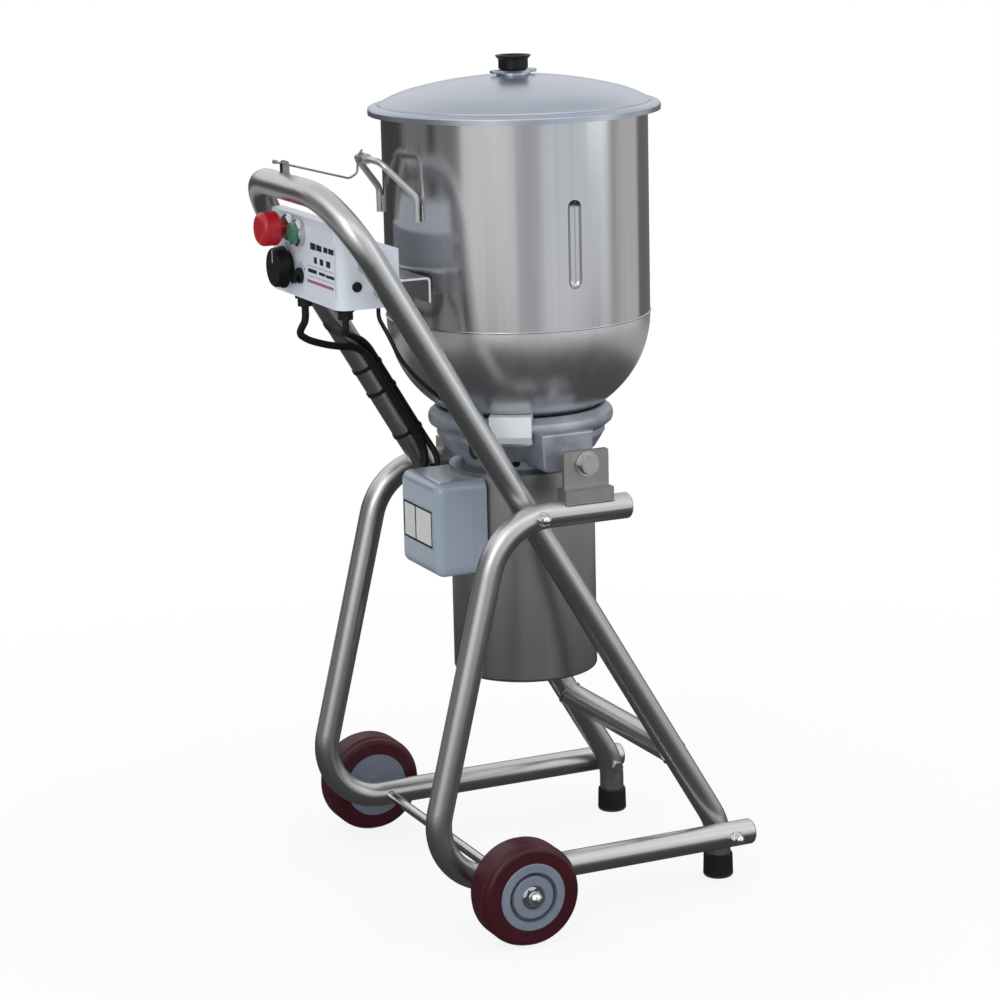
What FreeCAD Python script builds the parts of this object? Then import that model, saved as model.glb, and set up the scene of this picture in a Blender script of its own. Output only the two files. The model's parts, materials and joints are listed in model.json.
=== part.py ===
"""Tilting blender on a wheeled tube stand: steel cup with lid on a cast base, motor housing below it,
the whole unit hung between two side frames, with a push handle that carries the control box.

Millimetres, +Z up, +Y the side that pours, -Y the side of the operator, +X the operator's right.
Everything is laid out about the cup's axis (y = 0), and is moved along Y when it is written, so that
the origin lies on the floor under the middle of the whole machine.
"""
import FreeCAD, Part
import math
import os
from FreeCAD import Vector as V

os.makedirs("parts", exist_ok=True)

# Tubes of the stand
TUBE_D = 31.75
TUBE_WALL = 1.5
TUBE_CONTACT = 0.3          # daylight between tubes that lie side by side
EAR_TO_FRAME = 47.0         # from the ear's face to the side frame's plane
TOP_Z = 502.5               # axis of the side frame's top tube
TOP_FRONT_Y = 52.5          # its closed front end
LEG_TOP_Y = -114.2          # where the leg's axis meets the top tube's
LEG_FOOT_Y = -223.6         # where it meets the base tube's
BASE_FRONT_Y = 219.0        # closed front end of the base tube
TOP_BEND = 82.0             # bend radii on the tube's axis
BASE_BEND = 73.0
CAP_FACE = 4.0              # pressed cap on an open tube end
CAP_PLUG = 12.0

# Push handle
HANDLE_Y = -295.2           # axis of the crossbar
HANDLE_Z = 891.0
HANDLE_BEND = 82.5
FOOT_Y = 192.7              # the arm's short upright end
FOOT_CORNER_Z = 68.4        # where the arm's axis meets the upright's
FOOT_BEND = 80.0
CROSS_TUBE_Z = 171.0
FOOT_D = 38.0               # rubber ferrule
FOOT_H = 31.0
FOOT_PAD = 8.0
FOOT_EDGE = 4.0

# Wheels and axle
WHEEL_D = 127.0
WHEEL_W = 50.0
WHEEL_Y = -121.0
WHEEL_STAND_OFF = 36.5      # from that plane to the wheel's inner face
TREAD_W = 31.0
SHOULDER_DROP = 2.5
TYRE_EDGE = 6.0
HUB_D = 83.0
HUB_PROUD = 1.2
GROOVE_OUT_D = 62.0
GROOVE_IN_D = 52.0
GROOVE_DEPTH = 9.0
HUB_CUP_D = 30.0
HUB_CUP_DEPTH = 7.0
AXLE_D = 12.7
AXLE_PLAY = 0.1             # radial, wheel on axle
AXLE_NUT_AF = 19.0
WASHER_T = 1.6
SPACER_D = 20.0
SIDE_PLAY = 0.4             # a wheel's end float

# Bolts through the tubes
BOLT_D = 8.0
BOLT_HOLE_PLAY = 0.2
BOLT_AF = 13.0
BOLT_HEAD_H = 5.3

# Tilting axis, brackets and pins
TILT_Z = 560.0
BRACKET_T = 6.0
BRACKET_REAR_Y = -30.0
BRACKET_FRONT_Y = 29.0
BRACKET_TOP_Z = 576.0
SADDLE_L = 64.0
SADDLE_W = 29.0
SADDLE_H = 12.0
SADDLE_DROP = 3.0           # how far it is coped down over the tube
PIN_D = 16.0
PIN_PLAY = 0.1
PIN_COLLAR_D = 25.0
PIN_COLLAR_T = 4.0
PIN_HEAD_AF = 22.0
PIN_HEAD_H = 9.0
PIN_WASHER_D = 30.0
PIN_WASHER_T = 2.0
PIN_GRIP = 22.0             # length screwed into the ear

# Cup
CUP_R = 162.0
CUP_WALL = 2.0
CUP_RIM_Z = 966.0
BOWL_LOW_Z = 585.0
BOWL_R = 131.0              # the bowl's knuckle
BOWL_TOP_Z = BOWL_LOW_Z + BOWL_R    # seam between bowl and wall
RIB_D = 18.0                # pressed upright rib on each side
RIB_OUT = 2.0
RIB_LOW_Z = 775.0
RIB_HIGH_Z = 863.0
CUP_BORE_D = 44.0
STUD_R = 60.0               # circle of the four welded bosses
STUD_BOSS_D = 16.0

# Bow handle behind the cup
BOW_D = 8.0
BOW_FOOT_X = 57.0
BOW_FOOT_Z = 846.0
BOW_KNEE_Z = 875.0
BOW_TOP_X = 38.0
BOW_REACH = 31.5            # from the cup's wall to the grip's axis
BOW_TOP_Y = -(CUP_R + BOW_REACH)
BOW_TOP_Z = 917.6
BOW_BEND = 15.0
COLLAR_D = 13.0
COLLAR_T = 4.0
COLLAR_GAP = 10.0           # clear width between the two collars

# Latch wire
LATCH_X = -10.0
LATCH_PIVOT_Z = 918.0
LATCH_WIRE_D = 2.6
LATCH_EYE_D = 8.5
LATCH_STEM_D = 9.5
LATCH_PIN_D = 3.0
LATCH_PLAY = 0.1

# Lid
LID_GAP = 0.3
LID_OVERHANG = 15.7         # brim past the cup's wall
LID_DOME_OVERHANG = 3.0
LID_R = CUP_R + LID_OVERHANG
LID_DOME_R = CUP_R + LID_DOME_OVERHANG
LID_SKIRT_H = 9.0
LID_RISE = 31.5
LID_STEP = 1.6              # down from the dome's edge to the brim
LID_WALL = 2.5
LID_SPIGOT_H = 9.0
LID_SPIGOT_PLAY = 1.0
BOSS_D = 42.0
BOSS_H = 7.5
BOSS_WING_L = 58.0
KNOB_D = 43.0
KNOB_NECK_D = 36.0
KNOB_H = 16.0

# Cast base with its ears
CAST_TOP_Z = 603.0
CAST_LOW_Z = 541.0
CAST_LIP_W = 11.9           # width of the dish's rolled lip
CAST_TAPER = 20.0           # from the lip in to the body
EAR_REACH = 20.0            # ear past the dish, to a whole millimetre
EAR_LONG = 57.0
EAR_HALF_TOP = 35.0
EAR_HALF_LOW = 31.5
EAR_TOP_Z = 588.0
EAR_BOSS_D = 34.0
EAR_BOSS_H = 3.0
EAR_CORNER = 8.0
CAST_FLOOR_Z = 577.0
CAST_FLOOR_T = 11.0
CAST_WALL = 9.0
GASKET_T = 2.0
CAST_LIP_R = CUP_R - BOWL_R + math.sqrt((BOWL_R + GASKET_T) ** 2 - (BOWL_TOP_Z - CAST_TOP_Z) ** 2)
CAST_R = CAST_LIP_R + CAST_LIP_W
CAST_BODY_R = CAST_R - CAST_TAPER
EAR_OUT_X = float(round(CAST_R + EAR_REACH))
EAR_IN_X = EAR_OUT_X - EAR_LONG
FRAME_X = EAR_OUT_X + EAR_TO_FRAME
WHEEL_INNER_X = FRAME_X + WHEEL_STAND_OFF

# Lantern between the cast base and the motor
LANTERN_R = 72.0
LANTERN_WALL = 7.0
LANTERN_LOW_Z = 533.0
WINDOW_W = 46.0
WINDOW_H = 11.0

# Motor
SLEEVE_R = 90.0
SLEEVE_WALL = 1.5
SLEEVE_TOP_Z = 530.0
SLEEVE_LOW_Z = 268.0
SHIELD_T = 9.0
STATOR_R = 78.0
STATOR_LOW_Z = 346.0
STATOR_HIGH_Z = 486.0
COIL_H = 22.0
ROTOR_R = 43.0
ROTOR_GAP = 0.6
SHAFT_D = 20.0
BEARING_D = 47.0
BEARING_W = 14.0
FAN_R = 76.0
FAN_Z = 288.0
FAN_BLADES = 8
VENT_COUNT = 12

# Shaft seal and blades
SEAL_D = 34.0
BLADE_HUB_D = 30.0
BLADE_HUB_H = 20.0
BLADE_R = 96.0
BLADE_T = 3.0
BLADE_ROOT_W = 24.0
BLADE_TIP_W = 9.0
BLADE_RISE = 24.0
BLADE_BORE = 14.0
RUN_GAP = 0.3

# Interlock cover on the cast base
COVER_ANGLE = -31.0         # seen from above, from +X
COVER_W = 51.0
COVER_LOW_Z = 573.0
COVER_HIGH_Z = 609.0
COVER_BEVEL = 11.0
COVER_OUT_R = CAST_R + 11.0
COVER_IN_R = CAST_R - 15.0
COVER_T = 1.5
SWITCH_W = 30.0

# Terminal box behind the motor
TBOX_HALF_W = 58.0
TBOX_REAR_Y = -141.0
TBOX_SEAM_Y = -93.0
TBOX_FRONT_Y = -75.0
TBOX_LOW_Z = 407.0
TBOX_HIGH_Z = 524.5
TBOX_CORNER = 12.0
TBOX_WALL = 2.5
TBOX_SEAM_GAP = 0.2
SADDLE_HALF_W = 42.0
TBOX_PLATE = (-46.0, 441.0, 43.0, 490.0)

# Control box between the arms of the handle
BOX_GAP = 22.0              # from each arm to the box's side, bridged by spacers
PANEL_Y = -280.0
BOX_FRONT_Y = -205.0        # its back cover, on the cup's side
BOX_LOW_Z = 757.0
PANEL_TOP_Z = 856.0
HOOD_Z = 825.0
HOOD_START_Y = -262.0
HOOD_END_Y = -232.0
BOX_CORNER = 14.0
BOX_WALL = 1.5
COVER_PLATE_T = 1.5
COVER_LIP = 9.0
BOX_SCREW_D = 5.0
BOX_SCREW_END = 3.0         # past the arm's inner wall
STANDOFF_D = 18.0

# Buttons and knobs on the panel (x, z of each axis)
ESTOP_X = -38.0
ESTOP_Z = 839.0
START_X = -5.5
START_Z = 836.0
SPEED_X = -47.0
SPEED_Z = 790.5
SELECT_X = -8.0
SELECT_Z = 784.5
ESTOP_D = 41.0
ESTOP_REACH = 42.0
ESTOP_TRAVEL = 5.0
COLLAR_RING_D = 32.0
COLLAR_RING_H = 8.0
PANEL_HOLE_D = 22.5
STEM_D = 14.0
STEM_PLAY = 0.3
START_LENS_D = 26.0
START_TRAVEL = 3.5
START_PROUD = 5.5
SPEED_D = 51.0
SPEED_H = 20.5
SPEED_NECK_D = 38.0
SPEED_NECK_H = 6.5
SPEED_GAP = 1.0
SPINDLE_D = 6.35
SELECT_D = 19.0
SELECT_H = 9.0
BLOCK_DEPTH = 22.0

# Backstop channel and buffers
STOP_TOP_Z = 788.0
STOP_LOW_Z = 757.5
STOP_GAP = 2.0              # from the cup's wall to its face
STOP_Y = -(CUP_R + STOP_GAP)
STOP_T = 2.5
BUFFER_X = 48.0
BUFFER_D = 20.0
BUFFER_GAP = 0.3

# Cables: the motor's and its control cable on the left arm, the interlock switch's on the right arm
CABLE_D = 9.0
CONTROL_CABLE_D = 8.0
SWITCH_CABLE_D = 5.0
CABLE_SKIN = 0.15           # daylight between a cable and what it lies on
CABLE_ANGLE = 18.0          # place on the arm, from its inner side towards its upper side
CONTROL_ANGLE = 48.0
CABLE_END_Z = 545.0         # where the motor's cables leave the arm
SWITCH_END_Z = 600.0
TIE_T = 1.2
TIE_W = 4.6
TIE_HEIGHTS = (640.0, 609.0, 552.0)
SWITCH_CLIP_Z = 606.0
GLAND_D = 22.0
GLAND_H = 16.0
GLAND_PLACES = ((-46.0, -262.0), (74.0, -258.0))
GROMMET_D = 9.0
SWITCH_EXIT = (98.0, -226.0)
TERMINAL_Y = -117.0
TERMINAL_HEIGHTS = (495.0, 466.0)

TUBE_R = TUBE_D / 2
ARM_X = FRAME_X - TUBE_D - TUBE_CONTACT
BOX_HALF_W = ARM_X - TUBE_R - BOX_GAP
BASE_Z = WHEEL_D / 2
WHEEL_OUTER_X = WHEEL_INNER_X + WHEEL_W
ARM_SLOPE = (HANDLE_Y - FOOT_Y) / (HANDLE_Z - FOOT_CORNER_Z)
ARM_DIR = V(0, ARM_SLOPE, 1).normalize()
REAR_Y = PANEL_Y - ESTOP_REACH
FRONT_Y = BASE_FRONT_Y + CAP_FACE
SHIFT = V(0, -(REAR_Y + FRONT_Y) / 2, 0)
SIDES = {"left": -1, "right": 1}
X, Y, Z = V(1, 0, 0), V(0, 1, 0), V(0, 0, 1)


def arm_y(z):
    """Y of the handle arm's axis at height z."""
    return FOOT_Y + ARM_SLOPE * (z - FOOT_CORNER_Z)


def save(shape, name):
    """Writes one piece, moved from the cup's axis to the machine's own origin."""
    moved = shape.copy()
    moved.translate(SHIFT)
    moved.exportStep(f"parts/{name}.step")


def rod(start, direction, length, radius):
    return Part.makeCylinder(radius, length, start, direction)


def ring(start, direction, length, outer, inner):
    return rod(start, direction, length, outer).cut(rod(start, direction, length, inner))


def hexagon(start, direction, length, across_flats):
    """A hexagonal prism, as a bolt's head or a nut."""
    radius = across_flats / math.sqrt(3)
    side = direction.cross(Z if abs(direction.z) < 0.9 else X).normalize()
    other = direction.cross(side)
    corners = []
    for k in range(7):
        angle = k * math.pi / 3
        corners.append(start + side * radius * math.cos(angle) + other * radius * math.sin(angle))
    return Part.Face(Part.makePolygon(corners)).extrude(direction * length)


def lathe(points, origin=V(0, 0, 0), axis=Z, arcs=None):
    """Turns an outline of (radius, height) about an axis. arcs maps a segment to a point half-way along it."""
    arcs = arcs or {}
    side = axis.cross(Y if abs(axis.y) < 0.9 else X).normalize()

    def place(p):
        return origin + side * p[0] + axis * p[1]

    edges = []
    count = len(points)
    for i in range(count):
        a, b = points[i], points[(i + 1) % count]
        if i in arcs:
            edges.append(Part.Arc(place(a), place(arcs[i]), place(b)).toShape())
        elif place(a).distanceToPoint(place(b)) > 1e-6:
            edges.append(Part.makeLine(place(a), place(b)))
    return Part.Face(Part.Wire(edges)).revolve(origin, axis, 360)


def prism(outline, x0, x1):
    """An outline of (y, z) drawn out along X."""
    corners = [V(x0, y, z) for y, z in outline]
    face = Part.Face(Part.makePolygon(corners + [corners[0]]))
    return face.extrude(V(x1 - x0, 0, 0))


def box(low, high):
    return Part.makeBox(high[0] - low[0], high[1] - low[1], high[2] - low[2], V(*low))


def disc(centre, direction, radius, bore=0.0):
    face = Part.Face(Part.Wire(Part.makeCircle(radius, centre, direction)))
    if bore:
        face = face.cut(Part.Face(Part.Wire(Part.makeCircle(bore, centre, direction))))
    return face.Faces[0]


def bent_rod(points, radii, radius, bore=0.0):
    """A round rod or tube along straight runs joined by tangent bends."""
    solids = []
    here = points[0]
    for i in range(1, len(points)):
        run = (points[i] - here).normalize()
        last = i == len(points) - 1
        if last:
            solids.append(disc(here, run, radius, bore).extrude(points[i] - here))
            break
        after = (points[i + 1] - points[i]).normalize()
        turn = math.acos(max(-1.0, min(1.0, run.dot(after))))
        trim = radii[i - 1] * math.tan(turn / 2)
        bend_start = points[i] - run * trim
        if here.distanceToPoint(bend_start) > 1e-6:
            solids.append(disc(here, run, radius, bore).extrude(bend_start - here))
        axis = run.cross(after).normalize()
        centre = bend_start + axis.cross(run) * radii[i - 1]
        solids.append(disc(bend_start, run, radius, bore).revolve(centre, axis, math.degrees(turn)))
        here = points[i] + after * trim
    whole = solids[0]
    if len(solids) > 1:
        whole = whole.fuse(solids[1:])
    return whole.removeSplitter()


def group(shapes):
    return Part.makeCompound(shapes)


def bolt_places():
    """(y, z) of the bolts that join an arm to its side frame: at the top tube and at the base tube."""
    return [(arm_y(TOP_Z), TOP_Z), (FOOT_Y, BASE_Z)]


def cross_hole(x0, x1, y, z, diameter):
    return rod(V(x0, y, z), X, x1 - x0, diameter / 2)


# Stand

def side_frame(sign):
    x = sign * FRAME_X
    path = [V(x, TOP_FRONT_Y, TOP_Z), V(x, LEG_TOP_Y, TOP_Z), V(x, LEG_FOOT_Y, BASE_Z), V(x, BASE_FRONT_Y, BASE_Z)]
    tube = bent_rod(path, [TOP_BEND, BASE_BEND], TUBE_R, TUBE_R - TUBE_WALL)
    reach = TUBE_R + 5
    for y, z in bolt_places():
        tube = tube.cut(cross_hole(x - reach, x + reach, y, z, BOLT_D + 2 * BOLT_HOLE_PLAY))
    return tube.cut(cross_hole(x - reach, x + reach, WHEEL_Y, BASE_Z, AXLE_D + 2 * AXLE_PLAY))


def end_caps():
    """Domed steel caps pressed into the four front ends of the side frames."""
    outline = [(0, -CAP_PLUG), (TUBE_R - TUBE_WALL - 0.05, -CAP_PLUG), (TUBE_R - TUBE_WALL - 0.05, 0),
               (TUBE_R, 0), (TUBE_R - CAP_FACE, CAP_FACE), (0, CAP_FACE)]
    bulge = TUBE_R - CAP_FACE * (1 - math.sqrt(0.5)), CAP_FACE * math.sqrt(0.5)
    caps = []
    for sign in SIDES.values():
        for y, z in ((TOP_FRONT_Y, TOP_Z), (BASE_FRONT_Y, BASE_Z)):
            caps.append(lathe(outline, V(sign * FRAME_X, y, z), Y, {3: bulge}))
    return group(caps)


def handle_path():
    half = [V(ARM_X, FOOT_Y, FOOT_PAD), V(ARM_X, FOOT_Y, FOOT_CORNER_Z), V(ARM_X, HANDLE_Y, HANDLE_Z)]
    other = [V(-p.x, p.y, p.z) for p in reversed(half)]
    return half + other, [FOOT_BEND, HANDLE_BEND, HANDLE_BEND, FOOT_BEND]


def standoff_places():
    """(y, z) on the arm's axis where the control box is carried."""
    return [(arm_y(z), z) for z in (HOOD_Z - 17, BOX_LOW_Z + 20)]


def handle_frame():
    path, radii = handle_path()
    tube = bent_rod(path, radii, TUBE_R, TUBE_R - TUBE_WALL)
    reach = TUBE_R + 5
    for sign in SIDES.values():
        x = sign * ARM_X
        for y, z in bolt_places():
            tube = tube.cut(cross_hole(x - reach, x + reach, y, z, BOLT_D + 2 * BOLT_HOLE_PLAY))
        for y, z in standoff_places():
            inner, axis = x - math.copysign(reach, x), x
            tube = tube.cut(cross_hole(min(inner, axis), max(inner, axis), y, z, BOX_SCREW_D + 2 * BOLT_HOLE_PLAY))
    return tube


def cross_tube():
    """Coped at both ends to the arms that it is welded to."""
    y = arm_y(CROSS_TUBE_Z)
    tube = ring(V(-ARM_X, y, CROSS_TUBE_Z), X, 2 * ARM_X, TUBE_R, TUBE_R - TUBE_WALL)
    for sign in SIDES.values():
        centre = V(sign * ARM_X, y, CROSS_TUBE_Z)
        tube = tube.cut(rod(centre - ARM_DIR * TUBE_D * 2, ARM_DIR, TUBE_D * 4, TUBE_R))
    return max(tube.Solids, key=lambda s: s.Volume)


def front_feet():
    """Rubber ferrules over the arms' lower ends."""
    bore = TUBE_R + 0.02
    outline = [(0, 0), (FOOT_D / 2 - FOOT_EDGE, 0), (FOOT_D / 2, FOOT_EDGE), (FOOT_D / 2 - 0.6, FOOT_H - 2),
               (FOOT_D / 2 - 1.6, FOOT_H), (bore, FOOT_H), (bore, FOOT_PAD), (0, FOOT_PAD)]
    corner = FOOT_D / 2 - FOOT_EDGE * (1 - math.sqrt(0.5)), FOOT_EDGE * (1 - math.sqrt(0.5))
    return group([lathe(outline, V(s * ARM_X, FOOT_Y, 0), Z, {1: corner}) for s in SIDES.values()])


def frame_bolts():
    """Hexagon bolts with heads on the inner side of the arms, and dome nuts on washers on the outer side."""
    pieces = []
    inner = ARM_X - TUBE_R
    outer = FRAME_X + TUBE_R
    nut_h = BOLT_AF * 0.5
    dome_r = BOLT_AF * 0.46
    dome_mid = dome_r * math.sqrt(0.5), dome_r * math.sqrt(0.5)
    for sign in SIDES.values():
        out = X * sign
        for y, z in bolt_places():
            head = hexagon(V(sign * (inner - BOLT_HEAD_H), y, z), out, BOLT_HEAD_H, BOLT_AF)
            shank = rod(V(sign * inner, y, z), out, outer + WASHER_T + nut_h - inner, BOLT_D / 2)
            pieces.append(head.fuse(shank).removeSplitter())
            seat = V(sign * outer, y, z)
            nut = rod(seat, out, WASHER_T, BOLT_AF * 0.65)
            nut = nut.fuse(hexagon(seat + out * WASHER_T, out, nut_h, BOLT_AF))
            dome = lathe([(0, 0), (dome_r, 0), (0, dome_r)], seat + out * (WASHER_T + nut_h), out, {1: dome_mid})
            nut = nut.fuse(dome).removeSplitter()
            pieces.append(nut.cut(rod(seat, out, WASHER_T + nut_h, BOLT_D / 2 + 0.02)))
    return group(pieces)


def pivot_bracket(sign):
    """Upright plate on a saddle that is welded along the top tube."""
    x = sign * FRAME_X
    tube_top = TOP_Z + TUBE_R
    middle_y = (BRACKET_REAR_Y + BRACKET_FRONT_Y) / 2
    saddle_top = tube_top + SADDLE_H
    saddle = box((x - SADDLE_W / 2, middle_y - SADDLE_L / 2, tube_top - SADDLE_DROP),
                 (x + SADDLE_W / 2, middle_y + SADDLE_L / 2, saddle_top))
    upright = [e for e in saddle.Edges if abs(e.tangentAt(e.FirstParameter).z) > 0.99]
    saddle = saddle.makeFillet(4, upright)
    saddle = saddle.cut(rod(V(x, middle_y - SADDLE_L, TOP_Z), Y, 2 * SADDLE_L, TUBE_R))
    plate = box((x - BRACKET_T / 2, BRACKET_REAR_Y, saddle_top), (x + BRACKET_T / 2, BRACKET_FRONT_Y, BRACKET_TOP_Z))
    corners = [e for e in plate.Edges if abs(e.tangentAt(e.FirstParameter).x) > 0.99 and e.CenterOfMass.z > TILT_Z]
    plate = plate.makeFillet(3, corners)
    bracket = saddle.fuse(plate).removeSplitter()
    return bracket.cut(cross_hole(x - 20, x + 20, 0, TILT_Z, PIN_D + 2 * PIN_PLAY))


# Wheels

def tyre(sign):
    r, half, tread = WHEEL_D / 2, WHEEL_W / 2, TREAD_W / 2
    shoulder = r - SHOULDER_DROP
    outline = [(HUB_D / 2, -half), (shoulder - TYRE_EDGE, -half), (shoulder, -half + TYRE_EDGE), (shoulder, -tread - 1.5),
               (r, -tread + 2), (r, tread - 2), (shoulder, tread + 1.5), (shoulder, half - TYRE_EDGE),
               (shoulder - TYRE_EDGE, half), (HUB_D / 2, half)]
    bulge = TYRE_EDGE * (1 - math.sqrt(0.5))
    arcs = {1: (shoulder - bulge, -half + bulge), 7: (shoulder - bulge, half - bulge)}
    return lathe(outline, V(sign * (WHEEL_INNER_X + half), WHEEL_Y, BASE_Z), X * sign, arcs)


def hub(sign):
    """Plastic centre with a ring groove and a recess for the axle nut on its outer face."""
    half = WHEEL_W / 2
    face = half + HUB_PROUD
    bore = AXLE_D / 2 + AXLE_PLAY
    outline = [(bore, -half), (HUB_D / 2, -half), (HUB_D / 2, half), (HUB_D / 2 - HUB_PROUD, face),
               (GROOVE_OUT_D / 2, face), (GROOVE_OUT_D / 2 - 1, face - GROOVE_DEPTH),
               (GROOVE_IN_D / 2 + 1, face - GROOVE_DEPTH), (GROOVE_IN_D / 2, face - 0.8),
               (GROOVE_IN_D / 2 - 0.8, face), (HUB_CUP_D / 2, face), (HUB_CUP_D / 2 - 1.5, face - HUB_CUP_DEPTH),
               (bore, face - HUB_CUP_DEPTH)]
    return lathe(outline, V(sign * (WHEEL_INNER_X + half), WHEEL_Y, BASE_Z), X * sign)


def nut_seat_x():
    return WHEEL_OUTER_X + HUB_PROUD - HUB_CUP_DEPTH + SIDE_PLAY


def wheel_axle():
    end = nut_seat_x() + WASHER_T + AXLE_NUT_AF * 0.5
    shaft = rod(V(-end, WHEEL_Y, BASE_Z), X, 2 * end, AXLE_D / 2)
    return shaft.makeChamfer(1.0, [e for e in shaft.Edges if isinstance(e.Curve, Part.Circle)])


def axle_hardware():
    """A spacer sleeve inside each wheel, and a washer and dome nut outside it."""
    pieces = []
    start = FRAME_X + TUBE_R
    for sign in SIDES.values():
        out = X * sign
        length = WHEEL_INNER_X - SIDE_PLAY - start
        pieces.append(ring(V(sign * start, WHEEL_Y, BASE_Z), out, length, SPACER_D / 2, AXLE_D / 2 + 0.02))
        seat = V(sign * nut_seat_x(), WHEEL_Y, BASE_Z)
        nut = rod(seat, out, WASHER_T, AXLE_NUT_AF * 0.62)
        nut = nut.fuse(hexagon(seat + out * WASHER_T, out, AXLE_NUT_AF * 0.5, AXLE_NUT_AF))
        dome_r = AXLE_NUT_AF * 0.46
        middle = dome_r * math.sqrt(0.5), dome_r * math.sqrt(0.5)
        top = seat + out * (WASHER_T + AXLE_NUT_AF * 0.5)
        nut = nut.fuse(lathe([(0, 0), (dome_r, 0), (0, dome_r)], top, out, {1: middle})).removeSplitter()
        pieces.append(nut.cut(rod(seat, out, WASHER_T + AXLE_NUT_AF * 0.5, AXLE_D / 2 + 0.02)))
    return group(pieces)


# Cup

def bowl_radius(z):
    """Outer radius of the bowl at height z."""
    return CUP_R - BOWL_R + math.sqrt(BOWL_R ** 2 - (BOWL_TOP_Z - z) ** 2)


def around_bowl(z, clear):
    """Radius at height z of a surface that lies clear of the bowl by that much all over."""
    return CUP_R - BOWL_R + math.sqrt((BOWL_R + clear) ** 2 - (BOWL_TOP_Z - z) ** 2)


def bowl_shell():
    low = BOWL_LOW_Z
    lean = math.radians(45)
    centre = CUP_R - BOWL_R
    outer_mid = centre + BOWL_R * math.cos(lean), BOWL_TOP_Z - BOWL_R * math.sin(lean)
    inner_r = BOWL_R - CUP_WALL
    inner_mid = centre + inner_r * math.cos(lean), BOWL_TOP_Z - inner_r * math.sin(lean)
    bore = CUP_BORE_D / 2
    outline = [(bore, low), (centre, low), (CUP_R, BOWL_TOP_Z), (CUP_R - CUP_WALL, BOWL_TOP_Z), (centre, low + CUP_WALL),
               (bore, low + CUP_WALL)]
    return lathe(outline, arcs={1: outer_mid, 3: inner_mid})


def rib_tool(sign, radius):
    """Round-ended bar that presses the cup's wall inwards."""
    x = sign * (CUP_R + RIB_OUT)
    bar = rod(V(x, 0, RIB_LOW_Z), Z, RIB_HIGH_Z - RIB_LOW_Z, radius)
    ends = [Part.makeSphere(radius, V(x, 0, z)) for z in (RIB_LOW_Z, RIB_HIGH_Z)]
    return bar.fuse(ends).removeSplitter()


def stud_places():
    angles = [math.radians(45 + 90 * k) for k in range(4)]
    return [(STUD_R * math.cos(a), STUD_R * math.sin(a)) for a in angles]


def cup():
    """Rolled wall of the cup, with a pressed rib on each side; the bowl is welded under it."""
    shell = ring(V(0, 0, BOWL_TOP_Z), Z, CUP_RIM_Z - BOWL_TOP_Z, CUP_R, CUP_R - CUP_WALL)
    inside = rod(V(0, 0, BOWL_TOP_Z), Z, CUP_RIM_Z - BOWL_TOP_Z, CUP_R - 0.1)
    for sign in SIDES.values():
        shell = shell.fuse(rib_tool(sign, RIB_D / 2 + CUP_WALL).common(inside))
        shell = shell.cut(rib_tool(sign, RIB_D / 2))
    return shell.removeSplitter()


def cup_bottom():
    """Spun bowl with the bore for the shaft's seal and four bosses for the bolts."""
    shell = bowl_shell()
    top = bowl_surface_z(STUD_R + STUD_BOSS_D / 2)
    for x, y in stud_places():
        boss = rod(V(x, y, CAST_FLOOR_Z), Z, top - CAST_FLOOR_Z, STUD_BOSS_D / 2)
        shell = shell.fuse(boss.cut(solid_bowl()))
        shell = shell.cut(rod(V(x, y, CAST_FLOOR_Z), Z, 7, BOLT_D / 2 + 0.02))
    return shell.removeSplitter()


def bowl_surface_z(r):
    return BOWL_TOP_Z - math.sqrt(BOWL_R ** 2 - (r - (CUP_R - BOWL_R)) ** 2)


def solid_bowl():
    """The bowl's outer form, filled."""
    low = BOWL_TOP_Z - BOWL_R
    centre = CUP_R - BOWL_R
    mid = centre + BOWL_R * math.cos(math.radians(45)), BOWL_TOP_Z - BOWL_R * math.sin(math.radians(45))
    return lathe([(0, low), (centre, low), (CUP_R, BOWL_TOP_Z), (0, BOWL_TOP_Z)], arcs={1: mid})


def cup_handle():
    """Bow of round bar, welded to the back of the cup, with two collars that keep the latch wire between them."""
    foot_r = CUP_R + BOW_D / 2
    foot_y = -math.sqrt(foot_r ** 2 - BOW_FOOT_X ** 2)
    half = [V(BOW_FOOT_X, foot_y, BOW_FOOT_Z), V(BOW_FOOT_X, foot_y, BOW_KNEE_Z),
            V(BOW_TOP_X, BOW_TOP_Y, BOW_TOP_Z)]
    other = [V(-p.x, p.y, p.z) for p in reversed(half)]
    bow = bent_rod(half + other, [BOW_BEND] * 4, BOW_D / 2)
    pieces = [bow]
    for sign in (-1, 1):
        start = V(LATCH_X + sign * COLLAR_GAP / 2, BOW_TOP_Y, BOW_TOP_Z)
        pieces.append(ring(start, X * sign, COLLAR_T, COLLAR_D / 2, BOW_D / 2 + 0.02))
    return group(pieces)


# Latch on the handle's crossbar

def latch_eye():
    """Forked lug welded on the crossbar, bored for the wire's pivot pin."""
    bar_top = HANDLE_Z + TUBE_R
    half = LATCH_STEM_D / 2
    r = LATCH_EYE_D / 2
    lug = box((LATCH_X - half, HANDLE_Y - r, bar_top - 2.5), (LATCH_X + half, HANDLE_Y + r, LATCH_PIVOT_Z))
    eye = lug.fuse(rod(V(LATCH_X - half, HANDLE_Y, LATCH_PIVOT_Z), X, LATCH_STEM_D, r)).removeSplitter()
    eye = eye.cut(rod(V(-ARM_X, HANDLE_Y, HANDLE_Z), X, 2 * ARM_X, TUBE_R))
    slot = LATCH_WIRE_D / 2 + 0.9
    eye = eye.cut(box((LATCH_X - slot, HANDLE_Y - 20, LATCH_PIVOT_Z - 8), (LATCH_X + slot, HANDLE_Y + 20, LATCH_PIVOT_Z + LATCH_EYE_D)))
    return eye.cut(rod(V(LATCH_X - 20, HANDLE_Y, LATCH_PIVOT_Z), X, 40, LATCH_PIN_D / 2 + LATCH_PLAY))


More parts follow.
